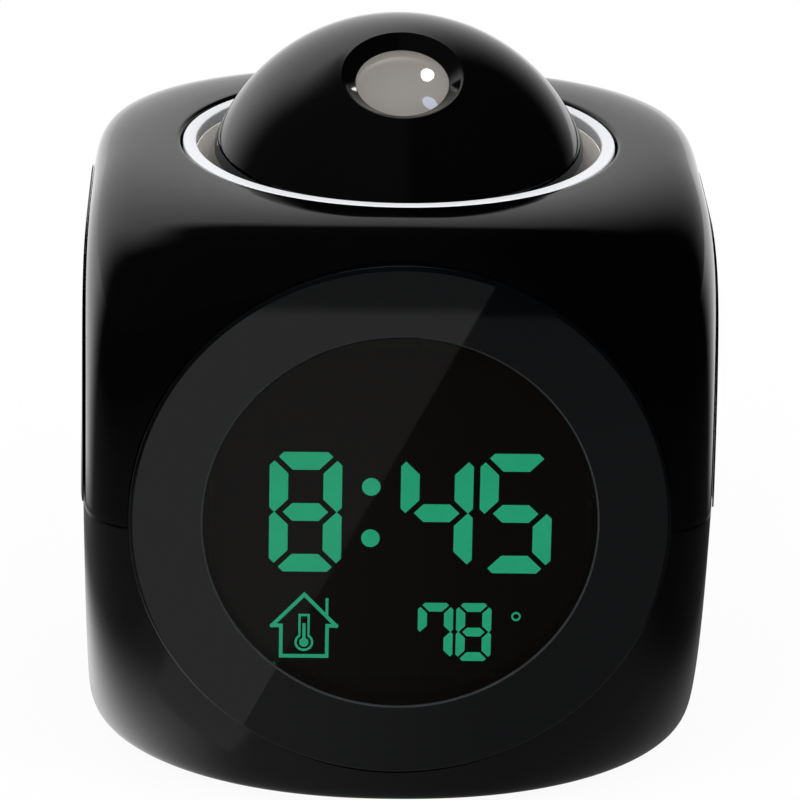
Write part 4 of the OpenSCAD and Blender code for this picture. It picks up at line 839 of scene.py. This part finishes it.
# ---------------------------------------------------------------- rear panel
# Round satin panel with slots for four keys and the alarm slider, a grille for the speaker and
# the mouth of the power socket.
PANEL_BACK, REAR_FACE, REAR_THICK, REAR_ROUND = 38.45, 40.65, 2.2, 0.4
KEY_Z, KEY_W, KEY_H, KEY_PITCH, KEY_GAP = 48.5, 8.0, 4.5, 10.0, 0.4
SLIDER_Z, SPEAKER_Z, USB_Z = 57.0, 29.5, 16.6
HOLE_R, HOLE_PITCH, HOLE_RINGS = 0.8, 2.7, 4
THROUGH = (37, 42)


def slot_block(x, z, w, h, y0, y1, round_edges):
    """A block through the rear, w wide and h high round (x, z), with rounded corners."""
    made = block(-w / 2, w / 2, -h / 2, h / 2, y0, y1, round_edges, 4, True)
    return settle(made, Matrix.Translation((x * MM, 0, 0)) @ facing(-90, 0, z))


plate_profile = [(0, 0), (REAR_R, 0), *arc(REAR_R - REAR_ROUND, 1.8, REAR_ROUND, 0, 90, 4),
                 (REAR_R - REAR_ROUND - 0.05, REAR_THICK), (0, REAR_THICK)]
panel = turned("rear", plate_profile, 192, facing(-90, PANEL_BACK, REAR_Z), closed=False)
holes = [slot_block((k - 1.5) * KEY_PITCH, KEY_Z, KEY_W + KEY_GAP, KEY_H + KEY_GAP, *THROUGH, 0.9)
         for k in range(4)]
holes.append(slot_block(0, SLIDER_Z, 5.8, 2.4, *THROUGH, 0.5))
holes.append(slot_block(0, USB_Z, 7.8, 3.2, *THROUGH, 0.5))
for ring in range(HOLE_RINGS):
    count, reach = max(6 * ring, 1), HOLE_PITCH * ring
    for turn in (2 * math.pi * k / count for k in range(count)):
        holes.append(drum(HOLE_R, -2, 4, 20, (reach * math.cos(turn), reach * math.sin(turn)),
                          facing(-90, PANEL_BACK, SPEAKER_Z)))
cut(panel, *holes)
bevel(panel, 0.12, 1)
skirt_profile = [(25.4, 0), (29.0, 0), (29.0, 1.2), (27.0, 1.2), (27.0, 2.4), (25.4, 2.4)]
skirt = turned("skirt", skirt_profile, 160, facing(-90, 36.2, REAR_Z))
screw_posts = [drum(1.8, 0, 4, 32, turn=Matrix.Translation((x * MM, 0, 0)) @ facing(-90, 35.0, z))
               for x, z in ((-21, 43.6), (21, 43.6), (7, 60.9))]
texture = Finish("fine_texture_black")
spark = texture.noise(1500, 3)
fine_texture = texture.shaded(
    Base_Color=texture.mix(spark, (0.006, 0.006, 0.0065), (0.011, 0.011, 0.012)),
    Roughness=texture.between(spark, 0.3, 0.7, 0.38, 0.52),
    Normal=texture.bump(spark, 0.00005, 0.5))
piece_done(join([panel, skirt, *screw_posts]), "rear_disc", fine_texture, "housing", "rear_panel")

# ---------------------------------------------------------------- keys and alarm slider
# Soft-touch keys with rounded edges, each with a small raised mark: a bar for set, a bell for the
# alarm, and arrows for up and down. The slider has three grip ridges.
KEY_BACK, KEY_RISE, KEY_FLANGE, MARK_RISE, MARK_SINK = 37.55, 0.6, 1.4, 0.1, 0.02
soft = Finish("soft_touch_key")
grain = soft.noise(1900, 2)
soft_touch = soft.shaded(Base_Color=soft.mix(grain, (0.020, 0.020, 0.022), (0.030, 0.030, 0.033)),
                         Roughness=0.58, Normal=soft.bump(grain, 0.00003, 0.4))
pale_print = speckled("pale_key_print", 900, (0.50, 0.50, 0.50), (0.62, 0.62, 0.62), Roughness=0.5)


def flat_mark(points, x, z):
    """A thin raised mark on a key: points go round its outline, in millimetres."""
    deselect()
    bpy.ops.mesh.primitive_circle_add(vertices=len(points), radius=MM, fill_type="NGON")
    made = bpy.context.object
    for vertex, (u, v) in zip(made.data.vertices, points):
        vertex.co = Vector((-u, 0, v)) * MM
    bpy.ops.object.mode_set(mode="EDIT")
    bpy.ops.mesh.select_all(action="SELECT")
    bpy.ops.mesh.extrude_region_move(TRANSFORM_OT_translate={"value": (0, MARK_RISE * MM, 0)})
    bpy.ops.mesh.select_all(action="SELECT")
    bpy.ops.mesh.normals_make_consistent(inside=False)
    bpy.ops.object.mode_set(mode="OBJECT")
    return settle(made, Matrix.Translation((x * MM, (REAR_FACE + KEY_RISE - MARK_SINK) * MM, z * MM)))


MARKS = {
    "key_set": [(-1.1, -0.25), (1.1, -0.25), (1.1, 0.25), (-1.1, 0.25)],
    "key_alarm": [(-1.2, -0.8), (1.2, -0.8), (0.85, -0.35), (0.7, 0.5), (0.3, 0.95), (-0.3, 0.95),
                  (-0.7, 0.5), (-0.85, -0.35)],
    "key_up": [(-1.0, -0.7), (1.0, -0.7), (0, 0.9)],
    "key_down": [(-1.0, 0.7), (0, -0.9), (1.0, 0.7)],
}
for place, (name, points) in enumerate(MARKS.items()):
    x = (place - 1.5) * KEY_PITCH
    top = slot_block(x, KEY_Z, KEY_W, KEY_H, KEY_BACK, REAR_FACE + KEY_RISE, 0.8)
    bpy.ops.object.mode_set(mode="EDIT")
    bpy.ops.mesh.select_all(action="DESELECT")
    bpy.ops.mesh.select_mode(type="FACE")
    bpy.ops.object.mode_set(mode="OBJECT")
    for face in top.data.polygons:
        face.select = face.normal.y > 0.9 and face.center.y > REAR_FACE * MM
    bpy.ops.object.mode_set(mode="EDIT")
    bpy.ops.mesh.bevel(offset=0.3 * MM, segments=3, affect="EDGES")
    bpy.ops.mesh.select_mode(type="VERT")
    bpy.ops.object.mode_set(mode="OBJECT")
    flange_plate = slot_block(x, KEY_Z, KEY_W + KEY_FLANGE, KEY_H + KEY_FLANGE, KEY_BACK,
                              KEY_BACK + 0.8, 0.4)
    to_key = Matrix.Translation((x * MM, 0, 0))
    stem = drum(1.2, 0, 1.6, 24, turn=to_key @ facing(-90, 36.1, KEY_Z))
    plunger = drum(1.6, 0, 2.9, 24, turn=to_key @ facing(-90, 33.2, KEY_Z))
    cap_mark = flat_mark(points, x, KEY_Z)
    cap_mark.data.materials.append(pale_print)
    key = join([top, flange_plate, stem, plunger])
    key.data.materials.append(soft_touch)
    join([key, cap_mark])
    piece_done(key, f"{name}_cap", None, name, name)

SLIDER_X, SLIDER_BACK = -1.5, 36.3
knob = slot_block(SLIDER_X, SLIDER_Z, 2.4, 2.0, SLIDER_BACK, REAR_FACE + 0.5, 0.3)
ridges = [slot_block(SLIDER_X + dx, SLIDER_Z, 0.35, 1.9, REAR_FACE + 0.4, REAR_FACE + 0.7, 0.1)
          for dx in (-0.7, 0, 0.7)]
slide_plate = slot_block(SLIDER_X, SLIDER_Z, 7.8, 4.0, SLIDER_BACK, SLIDER_BACK + 0.8, 0.3)
slide_pin = slot_block(SLIDER_X, SLIDER_Z, 1.4, 0.9, SLIDER_BACK - 1.7, SLIDER_BACK + 0.2, 0.1)
piece_done(join([knob, *ridges, slide_plate, slide_pin]), "alarm_slider_knob", soft_touch,
           "alarm_slider", "alarm_slider")
tin = metal_finish("tinned_steel", (0.70, 0.70, 0.68), 0.28, 2400)
cad_finish(tin, "slide_switch", "usb_socket", "battery_plates", "speaker_frame")
cad_finish(zinc_steel, "speaker_magnet", "battery_springs")
paper_cone = Finish("speaker_cone_paper")
fibre = paper_cone.noise(900, 4)
cad_finish(paper_cone.shaded(
    Base_Color=paper_cone.mix(fibre, (0.015, 0.015, 0.015), (0.045, 0.043, 0.040)),
    Roughness=0.85, Normal=paper_cone.bump(fibre, 0.0001, 0.6)), "speaker_cone")

# ---------------------------------------------------------------- battery compartment
# Satin door in the floor with finger ridges, hooked at the front and snapped at the back, over
# three AAA cells in plain sleeves.
DOOR_LOW, DOOR_TOP = 0.8, 2.6
half_l, half_w = TRAY_HALF_L - 0.2, TRAY_HALF_W - 0.2
door = block(-half_l, half_l, -half_w, half_w, DOOR_LOW, DOOR_TOP, 0.5, 3, True)
grips = [block(-6, 6, 9.2 + 1.1 * k, 9.7 + 1.1 * k, 0.2, 1.1, 0.2, 2) for k in range(5)]
cut(door, *grips)
bevel(door, 0.15, 2)
hooks = []
for x in (-11, 11):
    hooks.append(block(x - 2.7, x + 2.7, -half_w, -half_w + 1, 2.3, 4.1, 0.1, 2))
    hooks.append(block(x - 2.7, x + 2.7, -half_w - 2, -half_w + 0.5, 3.1, 4.1, 0.2, 2))
tongue_snap = block(-5, 5, half_w - 1.2, half_w, 2.3, 3.9, 0.2, 2)
piece_done(join([door, *hooks, tongue_snap]), "battery_door_cover", satin_black,
           "battery_door", "battery_door", angle=20)
sleeve = Finish("cell_sleeve")
length_along, _, _ = sleeve.axes(sleeve.place())
SLEEVE_HALF = 0.0196  # beyond this the bare metal ends show
collar = (length_along * length_along) > SLEEVE_HALF ** 2
print_tone = sleeve.mix(sleeve.noise(300, 2), (0.02, 0.10, 0.16), (0.03, 0.13, 0.20))
cad_finish(sleeve.shaded(Base_Color=sleeve.mix(collar, print_tone, (0.66, 0.65, 0.62)),
                         Metallic=collar * 0.9, Roughness=0.3), "battery_cells")
cad_finish(speckled("grey_lead_sleeve", 700, (0.34, 0.34, 0.35), (0.46, 0.46, 0.47), Roughness=0.5),
           "head_lead")
cad_finish(speckled("red_lead_sleeve", 700, (0.28, 0.02, 0.015), (0.36, 0.03, 0.02), Roughness=0.5),
           "inner_leads")
